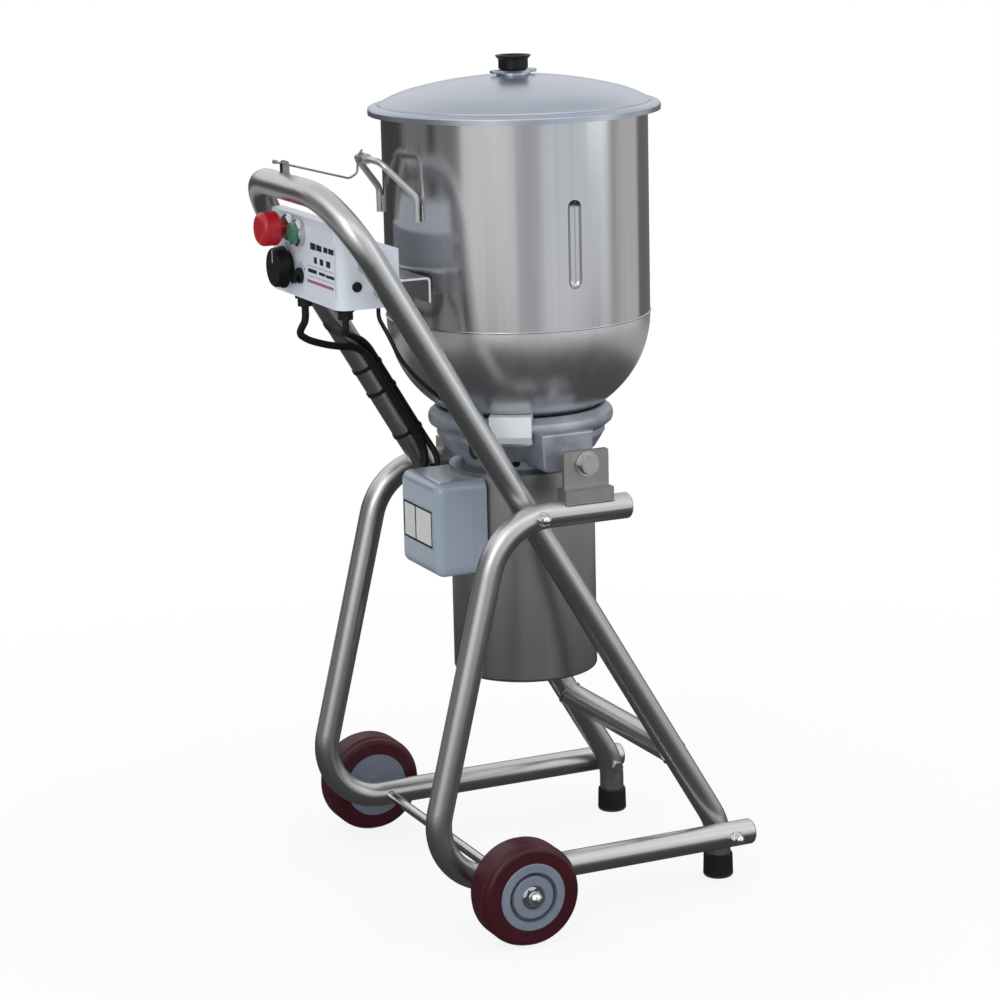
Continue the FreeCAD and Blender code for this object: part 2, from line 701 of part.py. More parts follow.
def latch_wire():
    """Bent wire on a cross pin; its crook lies behind the bow's bar."""
    back = HANDLE_Y
    path = [V(LATCH_X, back - 9.5, LATCH_PIVOT_Z + 2.5), V(LATCH_X, BOW_TOP_Y - 20.5, BOW_TOP_Z - 22.5),
            V(LATCH_X, BOW_TOP_Y - 9.5, BOW_TOP_Z - 17), V(LATCH_X, BOW_TOP_Y - 8.5, BOW_TOP_Z + 4),
            V(LATCH_X, BOW_TOP_Y - 2.5, BOW_TOP_Z + 10.5)]
    wire = bent_rod(path, [9, 8, 5], LATCH_WIRE_D / 2)
    pin_half = LATCH_STEM_D / 2 + 1.5
    pin = rod(V(LATCH_X - pin_half, back, LATCH_PIVOT_Z), X, 2 * pin_half, LATCH_PIN_D / 2)
    stop = rod(path[0], (path[0] - path[1]).normalize(), 5, LATCH_WIRE_D / 2 + 1)
    return wire.fuse([pin, stop]).removeSplitter()


# Lid

def lid_low_z():
    return CUP_RIM_Z + LID_GAP


def dome_outline(radius, rise, base_z):
    """A shallow crown and a tighter shoulder that starts along it: crown's middle, their joint, shoulder's middle."""
    joint_r, joint_h = 0.79 * radius, 0.46 * rise
    drop = rise - joint_h
    sphere = (joint_r ** 2 + drop ** 2) / (2 * drop)
    crown = joint_r / 2, base_z + rise - sphere + math.sqrt(sphere ** 2 - joint_r ** 2 / 4)
    chord_r, chord_h = radius - joint_r, joint_h
    chord = math.atan2(chord_h, chord_r)
    turn = chord - math.asin(joint_r / sphere)
    bulge = math.hypot(chord_r, chord_h) / 2 * math.tan(turn / 2)
    shoulder = joint_r + chord_r / 2 + bulge * math.sin(chord), base_z + chord_h / 2 + bulge * math.cos(chord)
    return crown, (joint_r, base_z + joint_h), shoulder


def lid():
    """Pressed aluminium lid: stepped brim, low dome, and a rim that drops inside the cup."""
    low = lid_low_z()
    shelf = low + LID_SKIRT_H
    spigot = CUP_R - CUP_WALL - LID_SPIGOT_PLAY
    brim = shelf - LID_STEP
    crown, joint, shoulder = dome_outline(LID_DOME_R, LID_RISE, shelf)
    inner_crown, inner_joint, inner_shoulder = dome_outline(spigot - LID_WALL, LID_RISE, shelf - LID_WALL)
    outline = [(0, shelf + LID_RISE), joint, (LID_DOME_R, shelf), (LID_DOME_R + 0.8, brim), (LID_R - 6, brim - 0.6),
               (LID_R, brim - 4.5), (LID_R, low - 3), (LID_R - LID_WALL, low - 3), (LID_R - LID_WALL, low), (spigot, low),
               (spigot, low - LID_SPIGOT_H), (spigot - LID_WALL, low - LID_SPIGOT_H), (spigot - LID_WALL, shelf - LID_WALL),
               inner_joint, (0, shelf + LID_RISE - LID_WALL)]
    arcs = {0: crown, 1: shoulder, 4: (LID_R - 1.7, brim - 1.9), 12: inner_shoulder, 13: inner_crown}
    return lathe(outline, arcs=arcs)


def lid_apex_z():
    return lid_low_z() + LID_SKIRT_H + LID_RISE


def lid_boss():
    """Cast foot of the knob, with a wing on either side."""
    top = lid_apex_z()
    sink = 1.0
    disc_part = lathe([(0, 0), (BOSS_D / 2, 0), (BOSS_D / 2, 2.5), (KNOB_NECK_D / 2 - 3, BOSS_H), (0, BOSS_H)], V(0, 0, top))
    wing = box((-6, -BOSS_WING_L / 2, top + 2), (6, BOSS_WING_L / 2, top + BOSS_H - 1.2))
    wing = wing.makeFillet(1.4, wing.Edges)
    boss = disc_part.fuse(wing).removeSplitter()
    return boss.cut(rod(V(0, 0, top - sink), Z, BOSS_H + 2 * sink, 3.02))


def lid_knob():
    """Black flared knob with the screw that goes through the lid."""
    base = lid_apex_z() + BOSS_H
    r, neck = KNOB_D / 2, KNOB_NECK_D / 2
    outline = [(0, 0), (neck, 0), (neck, KNOB_H - 5), (r, KNOB_H - 1), (r, KNOB_H), (r - 3, KNOB_H), (neck - 4, KNOB_H - 4),
               (0, KNOB_H - 4)]
    knob = lathe(outline, V(0, 0, base))
    screw = rod(V(0, 0, lid_apex_z() + 0.2), Z, BOSS_H, 3.0)
    return knob.fuse(screw).removeSplitter()


# Cast base

def base_casting():
    """Dish that carries the cup, with an ear on each side for the tilting pins."""
    floor = CAST_FLOOR_Z
    under = floor - CAST_FLOOR_T
    lip = around_bowl(CAST_TOP_Z, GASKET_T)
    seat_r = around_bowl(CAST_TOP_Z - 12, GASKET_T)
    lining = around_bowl(CAST_TOP_Z - 6, GASKET_T), CAST_TOP_Z - 6
    outline = [(CUP_BORE_D / 2 + 4, floor), (seat_r - 4, floor), (seat_r, CAST_TOP_Z - 12), (lip, CAST_TOP_Z),
               (lip + 4, CAST_TOP_Z), (CAST_R, CAST_TOP_Z - 7), (CAST_R, CAST_TOP_Z - 20), (CAST_R - 9, CAST_TOP_Z - 27),
               (CAST_R - 9, CAST_TOP_Z - 34), (CAST_BODY_R, CAST_LOW_Z + 10), (CAST_BODY_R - 4, CAST_LOW_Z + 6),
               (CAST_BODY_R - CAST_WALL - 4, CAST_LOW_Z + 6), (CAST_BODY_R - CAST_WALL, under - 6),
               (CAST_BODY_R - CAST_WALL - 6, under), (CUP_BORE_D / 2 + 4, under)]
    body = lathe(outline, arcs={2: lining, 5: (CAST_R + 1.5, CAST_TOP_Z - 13.5)})
    ears = [ear(sign) for sign in SIDES.values()]
    body = body.fuse(ears).removeSplitter()
    for x, y in stud_places():
        body = body.cut(rod(V(x, y, under - 1), Z, CAST_FLOOR_T + 2, BOLT_D / 2 + BOLT_HOLE_PLAY))
    return body


def ear(sign):
    outline = [(-EAR_HALF_TOP, EAR_TOP_Z), (EAR_HALF_TOP, EAR_TOP_Z), (EAR_HALF_LOW, CAST_LOW_Z), (-EAR_HALF_LOW, CAST_LOW_Z)]
    low, high = sorted((sign * EAR_IN_X, sign * EAR_OUT_X))
    lug = prism(outline, low, high)
    corners = [e for e in lug.Edges if abs(e.tangentAt(e.FirstParameter).x) > 0.99 and e.CenterOfMass.z < TILT_Z]
    lug = lug.makeFillet(EAR_CORNER, corners)
    rims = [e for e in lug.Edges if abs(e.CenterOfMass.x - sign * EAR_OUT_X) < 0.01]
    lug = lug.makeFillet(3, rims)
    lug = lug.cut(rod(V(0, 0, CAST_LOW_Z - 1), Z, CUP_RIM_Z - CAST_LOW_Z, CAST_BODY_R - CAST_WALL))
    out = X * sign
    lug = lug.fuse(rod(V(sign * EAR_OUT_X, 0, TILT_Z), out, EAR_BOSS_H, EAR_BOSS_D / 2)).removeSplitter()
    tip = EAR_OUT_X + EAR_BOSS_H
    return lug.cut(rod(V(sign * (tip - PIN_GRIP), 0, TILT_Z), out, PIN_GRIP, PIN_D / 2 + 0.02))


def tilt_pins():
    """Shouldered pins: screwed into the ears, running in the brackets, held by a head and washer outside."""
    pins = []
    inner = FRAME_X - BRACKET_T / 2
    outer = FRAME_X + BRACKET_T / 2
    for sign in SIDES.values():
        out = X * sign
        start = EAR_OUT_X + EAR_BOSS_H - PIN_GRIP
        end = outer + RUN_GAP + PIN_WASHER_T
        pin = rod(V(sign * start, 0, TILT_Z), out, end - start, PIN_D / 2)
        collar = rod(V(sign * (inner - RUN_GAP - PIN_COLLAR_T), 0, TILT_Z), out, PIN_COLLAR_T, PIN_COLLAR_D / 2)
        washer = rod(V(sign * (outer + RUN_GAP), 0, TILT_Z), out, PIN_WASHER_T, PIN_WASHER_D / 2)
        head = hexagon(V(sign * end, 0, TILT_Z), out, PIN_HEAD_H, PIN_HEAD_AF)
        bevel = lathe([(0, 0), (PIN_HEAD_AF * 0.62, 0), (PIN_HEAD_AF * 0.5, PIN_HEAD_H), (0, PIN_HEAD_H)],
                      V(sign * end, 0, TILT_Z), out)
        pins.append(pin.fuse([collar, washer, head.common(bevel)]).removeSplitter())
    return group(pins)


def cup_gasket():
    """Rubber ring between the bowl and the dish's lip."""
    high, low = CAST_TOP_Z - 1, CAST_TOP_Z - 11
    gap = 0.03
    far = GASKET_T - gap
    outline = [(around_bowl(low, gap), low), (around_bowl(low, far), low), (around_bowl(high, far), high),
               (around_bowl(high, gap), high)]
    middle = (low + high) / 2
    return lathe(outline, arcs={1: (around_bowl(middle, far), middle), 3: (around_bowl(middle, gap), middle)})


def cup_bolts():
    """Four bolts from below, through the dish's floor into the bosses on the bowl."""
    under = CAST_FLOOR_Z - CAST_FLOOR_T
    bolts = []
    for x, y in stud_places():
        head = hexagon(V(x, y, under - BOLT_HEAD_H), Z, BOLT_HEAD_H, BOLT_AF)
        bolts.append(head.fuse(rod(V(x, y, under), Z, CAST_FLOOR_T + 6.5, BOLT_D / 2)).removeSplitter())
    return group(bolts)


def lantern():
    """Windowed ring that joins the cast base to the motor."""
    top = CAST_FLOOR_Z - CAST_FLOOR_T
    inner = LANTERN_R - LANTERN_WALL
    bore = BEARING_D / 2
    outline = [(bore + 6, top), (bore + 6, top - 7), (inner - 6, top - 7), (inner, top - 13), (inner, LANTERN_LOW_Z),
               (LANTERN_R, LANTERN_LOW_Z), (LANTERN_R, top - 6.5), (LANTERN_R - 1.5, top - 5.5), (LANTERN_R - 1.5, top - 5.4),
               (STUD_R - BOLT_AF * 0.75, top - 5.4), (STUD_R - BOLT_AF * 0.75, top)]
    body = lathe(outline)
    low = LANTERN_LOW_Z + 4
    for k in range(4):
        window = box((0, -WINDOW_W / 2, low), (LANTERN_R + 5, WINDOW_W / 2, low + WINDOW_H))
        window = window.makeFillet(4, [e for e in window.Edges if abs(e.tangentAt(e.FirstParameter).x) > 0.99])
        window.rotate(V(0, 0, 0), Z, 45 + 90 * k)
        body = body.cut(window.cut(rod(V(0, 0, 0), Z, low + 2 * WINDOW_H, inner - 8)))
    for x, y in stud_places():
        body = body.cut(rod(V(x, y, top - BOLT_HEAD_H - 1), Z, BOLT_HEAD_H + 2, BOLT_AF * 0.62))
    return body


# Motor

def motor_sleeve():
    """Stainless tube round the motor, with a rolled lower edge."""
    r, wall = SLEEVE_R, SLEEVE_WALL
    outline = [(r - wall, SLEEVE_LOW_Z + 4), (r - wall, SLEEVE_TOP_Z), (r, SLEEVE_TOP_Z), (r, SLEEVE_LOW_Z + 4),
               (r - 4, SLEEVE_LOW_Z), (r - 8, SLEEVE_LOW_Z), (r - 8, SLEEVE_LOW_Z + wall), (r - 4, SLEEVE_LOW_Z + wall)]
    curve = 4 * (1 - math.sqrt(0.5))
    inner_curve = (4 - wall) * (1 - math.sqrt(0.5))
    arcs = {3: (r - curve, SLEEVE_LOW_Z + curve), 7: (r - wall - inner_curve, SLEEVE_LOW_Z + wall + inner_curve)}
    return lathe(outline, arcs=arcs)


def top_shield():
    """Upper end shield: spigot inside the sleeve, low cone, bearing housing and the lantern's seat."""
    fit = SLEEVE_R - SLEEVE_WALL - 0.05
    bore = BEARING_D / 2
    top = LANTERN_LOW_Z
    outline = [(SHAFT_D / 2 + 1.5, top), (LANTERN_R + 3, top), (SLEEVE_R, SLEEVE_TOP_Z), (fit, SLEEVE_TOP_Z),
               (fit, SLEEVE_TOP_Z - 16), (fit - 5, SLEEVE_TOP_Z - 16), (fit - 5, top - SHIELD_T),
               (bore + 6, top - SHIELD_T - 4), (bore + 6, top - BEARING_W - 5), (bore + 0.02, top - BEARING_W - 5),
               (bore + 0.02, top - 5), (SHAFT_D / 2 + 1.5, top - 5)]
    return lathe(outline)


def bottom_shield():
    """Lower end shield inside the sleeve, with its bearing seat and openings for the cooling air."""
    fit = SLEEVE_R - SLEEVE_WALL - 0.05
    bore = BEARING_D / 2
    z = STATOR_LOW_Z - COIL_H - 6
    outline = [(SHAFT_D / 2 + 1.5, z - BEARING_W), (bore + 6, z - BEARING_W), (bore + 6, z - 6), (fit, z - 6), (fit, z + 6),
               (fit - 4, z + 6), (fit - 4, z), (bore + 0.02, z), (bore + 0.02, z - BEARING_W + 2),
               (SHAFT_D / 2 + 1.5, z - BEARING_W + 2)]
    body = lathe(outline)
    for k in range(6):
        hole = rod(V(58, 0, z - 10), Z, 20, 12)
        hole.rotate(V(0, 0, 0), Z, 60 * k)
        body = body.cut(hole)
    return body


def fan_guard():
    """Slotted disc that closes the sleeve's lower end."""
    z = SLEEVE_LOW_Z + SLEEVE_WALL + 0.02
    body = rod(V(0, 0, z), Z, 2, SLEEVE_R - 5)
    for k in range(VENT_COUNT):
        slot = box((28, -3, z - 1), (66, 3, z + 3))
        slot.rotate(V(0, 0, 0), Z, k * 360 / VENT_COUNT)
        body = body.cut(slot)
    return body


def stator():
    """Laminated core with the winding heads above and below."""
    fit = STATOR_R
    bore = ROTOR_R + ROTOR_GAP
    core = ring(V(0, 0, STATOR_LOW_Z), Z, STATOR_HIGH_Z - STATOR_LOW_Z, fit, bore)
    lugs = []
    for k in range(4):
        lug = box((fit - 4, -9, STATOR_LOW_Z), (SLEEVE_R - SLEEVE_WALL - 0.05, 9, STATOR_HIGH_Z))
        lug = lug.common(rod(V(0, 0, STATOR_LOW_Z), Z, STATOR_HIGH_Z - STATOR_LOW_Z, SLEEVE_R - SLEEVE_WALL - 0.05))
        lug.rotate(V(0, 0, 0), Z, 45 + 90 * k)
        lugs.append(lug)
    for z in (STATOR_HIGH_Z, STATOR_LOW_Z - COIL_H):
        lugs.append(ring(V(0, 0, z), Z, COIL_H, fit - 8, bore + 5))
    return core.fuse(lugs).removeSplitter()


def motor_bearings():
    """Upper and lower ball bearings, drawn as their outer forms."""
    low = STATOR_LOW_Z - COIL_H - 6 - BEARING_W + 2
    rings = []
    for z in (LANTERN_LOW_Z - 5 - BEARING_W, low):
        width = BEARING_W if z > low else BEARING_W - 2
        rings.append(ring(V(0, 0, z), Z, width, BEARING_D / 2, SHAFT_D / 2 + 0.02))
    return group(rings)


def seal_z():
    """Underside and top of the shaft seal that closes the cup's bore."""
    return CAST_FLOOR_Z - CAST_FLOOR_T, BOWL_TOP_Z - BOWL_R + CUP_WALL


def shaft_seal():
    """Seal carrier through the cast floor and the cup's bore, with a flange inside the cup."""
    under, top = seal_z()
    bore = SHAFT_D / 2 + 0.1
    stem = CUP_BORE_D / 2 - 0.05
    wide = CUP_BORE_D / 2 + 4 - 0.05
    low = BOWL_TOP_Z - BOWL_R - 0.02
    outline = [(bore, under), (wide, under), (wide, low), (stem, low), (stem, top + 0.02), (stem + 5, top + 0.02),
               (stem + 5, top + 4), (SEAL_D / 2, top + 6), (SEAL_D / 2 - 4, top + 9), (bore, top + 9)]
    return lathe(outline)


def blade_seat_z():
    return seal_z()[1] + 9 + RUN_GAP


def motor_shaft():
    """Rotor on its stepped shaft, which reaches up through the seal to the blades."""
    seat = blade_seat_z()
    low = FAN_Z - 12
    rotor_low, rotor_high = STATOR_LOW_Z, STATOR_HIGH_Z
    r = SHAFT_D / 2
    tip = seat + BLADE_HUB_H + 9
    outline = [(0, low), (7.5, low), (7.5, FAN_Z + 18), (r, FAN_Z + 18), (r, rotor_low - 10), (16, rotor_low - 10),
               (16, rotor_low), (ROTOR_R, rotor_low), (ROTOR_R, rotor_high), (16, rotor_high), (16, rotor_high + 12),
               (r, rotor_high + 12), (r, seat - 0.0), (BLADE_BORE / 2, seat), (BLADE_BORE / 2, tip), (0, tip)]
    return lathe(outline)


def motor_fan():
    """Cooling fan on the shaft's lower end."""
    z = FAN_Z
    hub_part = ring(V(0, 0, z - 9), Z, 18, 17, 7.52)
    back = ring(V(0, 0, z + 7), Z, 2, FAN_R, 16)
    vanes = []
    for k in range(FAN_BLADES):
        vane = box((15, -1.2, z - 9), (FAN_R - 2, 1.2, z + 8))
        vane.rotate(V(0, 0, 0), Z, k * 360 / FAN_BLADES)
        vanes.append(vane)
    return hub_part.fuse([back] + vanes).removeSplitter()


def blade(angle, rise):
    """One tapered arm, bent up or down half-way and ground to an edge on one side."""
    root, bend, tip = BLADE_HUB_D / 2 - 2, BLADE_R * 0.42, BLADE_R
    w0, w1 = BLADE_ROOT_W / 2, BLADE_TIP_W / 2
    mid = w0 + (w1 - w0) * (bend - root) / (tip - root)
    flat = Part.Face(Part.makePolygon([V(root, -w0, 0), V(bend, -mid, 0), V(bend, mid, 0), V(root, w0, 0), V(root, -w0, 0)]))
    arm = flat.extrude(V(0, 0, BLADE_T))
    outer = Part.Face(Part.makePolygon([V(bend, -mid, 0), V(tip, -w1, rise), V(tip, w1, rise), V(bend, mid, 0), V(bend, -mid, 0)]))
    arm = arm.fuse(outer.extrude(V(0, 0, BLADE_T))).removeSplitter()
    arm.rotate(V(0, 0, 0), Z, angle)
    return arm


def blades():
    """Two crossed pairs: one swept up, one lower pair swept down, on a common hub."""
    seat = blade_seat_z()
    hub_part = ring(V(0, 0, seat), Z, BLADE_HUB_H, BLADE_HUB_D / 2, BLADE_BORE / 2 + 0.02)
    arms = []
    for angle, height, rise in ((0, 13, BLADE_RISE), (180, 13, BLADE_RISE), (90, 5, BLADE_RISE / 3), (270, 5, BLADE_RISE / 3)):
        arm = blade(angle, rise)
        arm.translate(V(0, 0, seat + height))
        arms.append(arm)
    return hub_part.fuse(arms).removeSplitter()


def blade_nut():
    """Domed nut, left-hand thread on the real machine, that holds the blades."""
    base = blade_seat_z() + BLADE_HUB_H
    nut = hexagon(V(0, 0, base), Z, 10, 22)
    dome = lathe([(0, 10), (10.5, 10), (0, 18)], V(0, 0, base), Z, {1: (7.6, 15.8)})
    return nut.fuse(dome).removeSplitter().cut(rod(V(0, 0, base), Z, 9.2, BLADE_BORE / 2 + 0.02))


# Interlock switch on the cast base

def cover_frame(shape):
    """Turns a shape drawn on the +X side to the cover's place on the dish."""
    shape.rotate(V(0, 0, 0), Z, COVER_ANGLE)
    return shape


def cover_solid(inset):
    """The folded cover's outer form: an upright face with its lower edge folded back."""
    high, low = COVER_HIGH_Z - inset, COVER_LOW_Z
    outer, inner = COVER_OUT_R - inset, COVER_IN_R
    half = COVER_W / 2 - inset
    corners = [V(inner, -half, high), V(outer, -half, high), V(outer, -half, low + COVER_BEVEL),
               V(outer - COVER_BEVEL, -half, low), V(inner, -half, low)]
    face = Part.Face(Part.makePolygon(corners + [corners[0]]))
    return face.extrude(V(0, 2 * half, 0))


def casting_core():
    """What the cover has to clear: the dish, grown by a hair."""
    return rod(V(0, 0, CAST_LOW_Z), Z, CAST_TOP_Z - CAST_LOW_Z + 0.02, CAST_R + 1.7)


def interlock_cover():
    shell = cover_solid(0).cut(cover_solid(COVER_T))
    keep_out = casting_core().fuse(bowl_keep_out()).removeSplitter()
    shell = shell.cut(keep_out)
    return cover_frame(max(shell.Solids, key=lambda s: s.Volume))


def bowl_keep_out():
    clear = 0.4
    low = BOWL_TOP_Z - BOWL_R - clear
    centre = CUP_R - BOWL_R
    r = BOWL_R + clear
    mid = centre + r * math.cos(math.radians(45)), BOWL_TOP_Z - r * math.sin(math.radians(45))
    return lathe([(0, low), (centre, low), (centre + r, BOWL_TOP_Z), (0, BOWL_TOP_Z)], arcs={1: mid})


def interlock_switch():
    """Small switch body inside the cover, screwed to the dish's rim."""
    inner = CAST_R + 1.75
    outer = COVER_OUT_R - COVER_T - 0.05
    body = box((inner, -SWITCH_W / 2, COVER_LOW_Z + COVER_BEVEL + 2), (outer, SWITCH_W / 2, COVER_HIGH_Z - COVER_T - 4))
    return cover_frame(body)


# Terminal box

def rounded_block(low, high, corner, side_y):
    """A block whose edges round the face at side_y are rounded, with the upright ones."""
    block = box(low, high)
    rounded = [e for e in block.Edges if abs(e.CenterOfMass.y - side_y) < 0.01 or
               (abs(e.tangentAt(e.FirstParameter).y) > 0.99)]
    return block.makeFillet(corner, rounded)


def terminal_box_lid():
    rear = TBOX_REAR_Y
    outer = rounded_block((-TBOX_HALF_W, rear, TBOX_LOW_Z), (TBOX_HALF_W, TBOX_SEAM_Y, TBOX_HIGH_Z), TBOX_CORNER, rear)
    w = TBOX_WALL
    inner = rounded_block((-TBOX_HALF_W + w, rear + w, TBOX_LOW_Z + w), (TBOX_HALF_W - w, TBOX_SEAM_Y + 1, TBOX_HIGH_Z - w),
                          TBOX_CORNER - w, rear + w)
    frame = box((TBOX_PLATE[0], rear - 0.5, TBOX_PLATE[1]), (TBOX_PLATE[2], rear + 0.5, TBOX_PLATE[3]))
    return outer.cut(inner).fuse(frame).removeSplitter()


def terminal_box_base():
    """Tray of the terminal box on a saddle that fits round the sleeve."""
    rear = TBOX_SEAM_Y + TBOX_SEAM_GAP
    tray = box((-TBOX_HALF_W, rear, TBOX_LOW_Z), (TBOX_HALF_W, TBOX_FRONT_Y, TBOX_HIGH_Z))
    sides = [e for e in tray.Edges if abs(e.tangentAt(e.FirstParameter).y) > 0.99]
    tray = tray.makeFillet(TBOX_CORNER, sides)
    step = 6
    saddle = box((-SADDLE_HALF_W, TBOX_FRONT_Y, TBOX_LOW_Z + step), (SADDLE_HALF_W, -SLEEVE_R + 30, TBOX_HIGH_Z - step))
    tray = tray.fuse(saddle)
    tray = tray.cut(rod(V(0, 0, TBOX_LOW_Z - 1), Z, TBOX_HIGH_Z - TBOX_LOW_Z + 2, SLEEVE_R + 0.02))
    return max(tray.removeSplitter().Solids, key=lambda s: s.Volume)


def gland(start, out, cable_d):
    """Hexagon body and clamping nut of a cable gland."""
    body = hexagon(start, out, 6, GLAND_D)
    body = body.fuse(rod(start + out * 6, out, GLAND_H - 6, GLAND_D / 2 - 2)).removeSplitter()
    return body.cut(rod(start, out, GLAND_H, cable_d / 2 + 0.02))


def terminal_glands():
    """Glands on the terminal box's left side."""
    out = V(-1, 0, 0)
    pieces = []
    for z, cable_d in zip(TERMINAL_HEIGHTS, (CABLE_D, CONTROL_CABLE_D)):
        pieces.append(gland(V(-TBOX_HALF_W, TERMINAL_Y, z), out, cable_d))
    return group(pieces)


# Control box

def box_outline(inset):
    """(y, z) outline of the control box's side, with its sloped hood."""
    i = inset
    return [(PANEL_Y + i, BOX_LOW_Z + i), (PANEL_Y + i, PANEL_TOP_Z - i), (HOOD_START_Y - 0.3 * i, PANEL_TOP_Z - i),
            (HOOD_END_Y - 0.3 * i, HOOD_Z - i), (BOX_FRONT_Y, HOOD_Z - i), (BOX_FRONT_Y, BOX_LOW_Z + i)]


def box_form(inset):
    form = prism(box_outline(inset), -BOX_HALF_W + inset, BOX_HALF_W - inset)
    upright = []
    for edge in form.Edges:
        if abs(edge.tangentAt(edge.FirstParameter).z) > 0.99 and abs(edge.CenterOfMass.y - PANEL_Y - inset) < 0.01:
            upright.append(edge)
    return form.makeFillet(BOX_CORNER - inset, upright)


def panel_holes():
    """Holes of the panel: (x, z, diameter)."""
    return [(ESTOP_X, ESTOP_Z, PANEL_HOLE_D), (START_X, START_Z, PANEL_HOLE_D), (SPEED_X, SPEED_Z, SPINDLE_D + 3),
            (SELECT_X, SELECT_Z, SPINDLE_D + 3)]


def control_box():
    """Folded sheet box: panel, sides, top and floor in one piece, open towards the cup."""
    shell = box_form(0).cut(box_form(BOX_WALL))
    for x, z, diameter in panel_holes():
        shell = shell.cut(rod(V(x, PANEL_Y - 1, z), Y, BOX_WALL + 2, diameter / 2))
    for sign in SIDES.values():
        for y, z in standoff_places():
            start = V(sign * (BOX_HALF_W - BOX_WALL - 1), y, z)
            shell = shell.cut(rod(start, X * sign, BOX_WALL + 2, BOX_SCREW_D / 2 + BOLT_HOLE_PLAY))
    for x, y in GLAND_PLACES:
        shell = shell.cut(rod(V(x, y, BOX_LOW_Z - 1), Z, BOX_WALL + 2, CABLE_D / 2 + 2))
    shell = shell.cut(rod(V(SWITCH_EXIT[0], SWITCH_EXIT[1], BOX_LOW_Z - 1), Z, BOX_WALL + 2, SWITCH_CABLE_D / 2 + 0.5))
    grommet = rod(V(BOX_HALF_W - BOX_WALL - 1, grommet_y(), grommet_z()), X, BOX_WALL + 2, GROMMET_D / 2)
    return shell.cut(grommet)


def grommet_y():
    return PANEL_Y + BOX_CORNER + 9


def grommet_z():
    return BOX_LOW_Z + 27


def box_cover():
    """Back cover that closes the box on the cup's side, with folded lips that stand inside it."""
    y = BOX_FRONT_Y
    t = COVER_PLATE_T
    plate = box((-BOX_HALF_W, y, BOX_LOW_Z), (BOX_HALF_W, y + t, HOOD_Z))
    gap = 0.3
    i = BOX_WALL + gap
    outer = box((-BOX_HALF_W + i, y - COVER_LIP, BOX_LOW_Z + i), (BOX_HALF_W - i, y, HOOD_Z - i))
    j = i + t
    inner = box((-BOX_HALF_W + j, y - COVER_LIP - 1, BOX_LOW_Z + j), (BOX_HALF_W - j, y + 1, HOOD_Z - j))
    return plate.fuse(outer.cut(inner)).removeSplitter()


def box_standoffs():
    """Coped spacers between the arms and the box's sides, bored for their screws."""
    pieces = []
    for sign in SIDES.values():
        for y, z in standoff_places():
            start = V(sign * BOX_HALF_W, y, z)
            body = rod(start, X * sign, ARM_X - BOX_HALF_W, STANDOFF_D / 2)
            centre = V(sign * ARM_X, y, z)
            body = body.cut(rod(centre - ARM_DIR * 2 * TUBE_D, ARM_DIR, 4 * TUBE_D, TUBE_R))
            body = body.cut(rod(start, X * sign, ARM_X - BOX_HALF_W, BOX_SCREW_D / 2 + BOLT_HOLE_PLAY))
            pieces.append(max(body.Solids, key=lambda s: s.Volume))
    return group(pieces)


def box_screws():
    """Screws from inside the box, through the spacers and into the inner wall of the arms."""
    pieces = []
    inside = BOX_HALF_W - BOX_WALL
    for sign in SIDES.values():
        for y, z in standoff_places():
            out = X * sign
            length = ARM_X - TUBE_R + TUBE_WALL + BOX_SCREW_END - inside
            shank = rod(V(sign * inside, y, z), out, length, BOX_SCREW_D / 2)
            head = hexagon(V(sign * (inside - 4), y, z), out, 4, 8)
            pieces.append(head.fuse(shank).removeSplitter())
    return group(pieces)


def panel_collars():
    """Collars of the stop and start buttons, clamped on the panel."""
    rings = []
    for x, z, bore in ((ESTOP_X, ESTOP_Z, STEM_D), (START_X, START_Z, START_LENS_D)):
        inner = bore / 2 + STEM_PLAY
        base = V(x, PANEL_Y, z)
        outer = COLLAR_RING_D / 2
        face = [(inner, 0), (outer, 0), (outer, COLLAR_RING_H - 2), (outer - 2, COLLAR_RING_H), (inner, COLLAR_RING_H)]
        collar = lathe(face, base, V(0, -1, 0))
        rings.append(collar)
    return group(rings)


def contact_blocks():
    """Contact blocks behind the panel, and the potentiometer and switch behind the two knobs."""
    start_y = PANEL_Y + BOX_WALL
    pieces = []
    for x, z, bore in ((ESTOP_X, ESTOP_Z, STEM_D), (START_X, START_Z, STEM_D)):
        low = z - 14
        high = z + 5
        block = box((x - 14, start_y, low), (x + 14, start_y + BLOCK_DEPTH, high))
        pocket = bore / 2 + STEM_PLAY
        block = block.cut(rod(V(x, start_y, z), Y, BLOCK_DEPTH - 6, pocket))
        pieces.append(block)
    for x, z in ((SPEED_X, SPEED_Z), (SELECT_X, SELECT_Z)):
        body = rod(V(x, start_y, z), Y, 14, 12)
        pieces.append(body.cut(rod(V(x, start_y, z), Y, 9, SPINDLE_D / 2 + 0.1)))
    return group(pieces)


def stop_button():
    """Mushroom head on its stem."""
    r = ESTOP_D / 2
    reach = ESTOP_REACH
    neck = STEM_D / 2
    face = COLLAR_RING_H + ESTOP_TRAVEL + 1.5
    inside = BOX_WALL + 9
    outline = [(0, -inside), (neck, -inside), (neck, face), (r - 5, face), (r, face + 5), (r, reach - 9), (r - 7, reach),
               (0, reach)]
    corner = r - 7 * (1 - math.sqrt(0.5)), reach - 9 * (1 - math.sqrt(0.5))
    return lathe(outline, V(ESTOP_X, PANEL_Y, ESTOP_Z), V(0, -1, 0), {5: corner})


def start_button():
    r = START_LENS_D / 2
    face = COLLAR_RING_H + START_PROUD
    neck = STEM_D / 2
    under = START_TRAVEL + 0.5
    outline = [(0, -8), (neck, -8), (neck, under), (r, under), (r, face - 2), (r - 2, face), (0, face + 0.6)]
    return lathe(outline, V(START_X, PANEL_Y, START_Z), V(0, -1, 0))


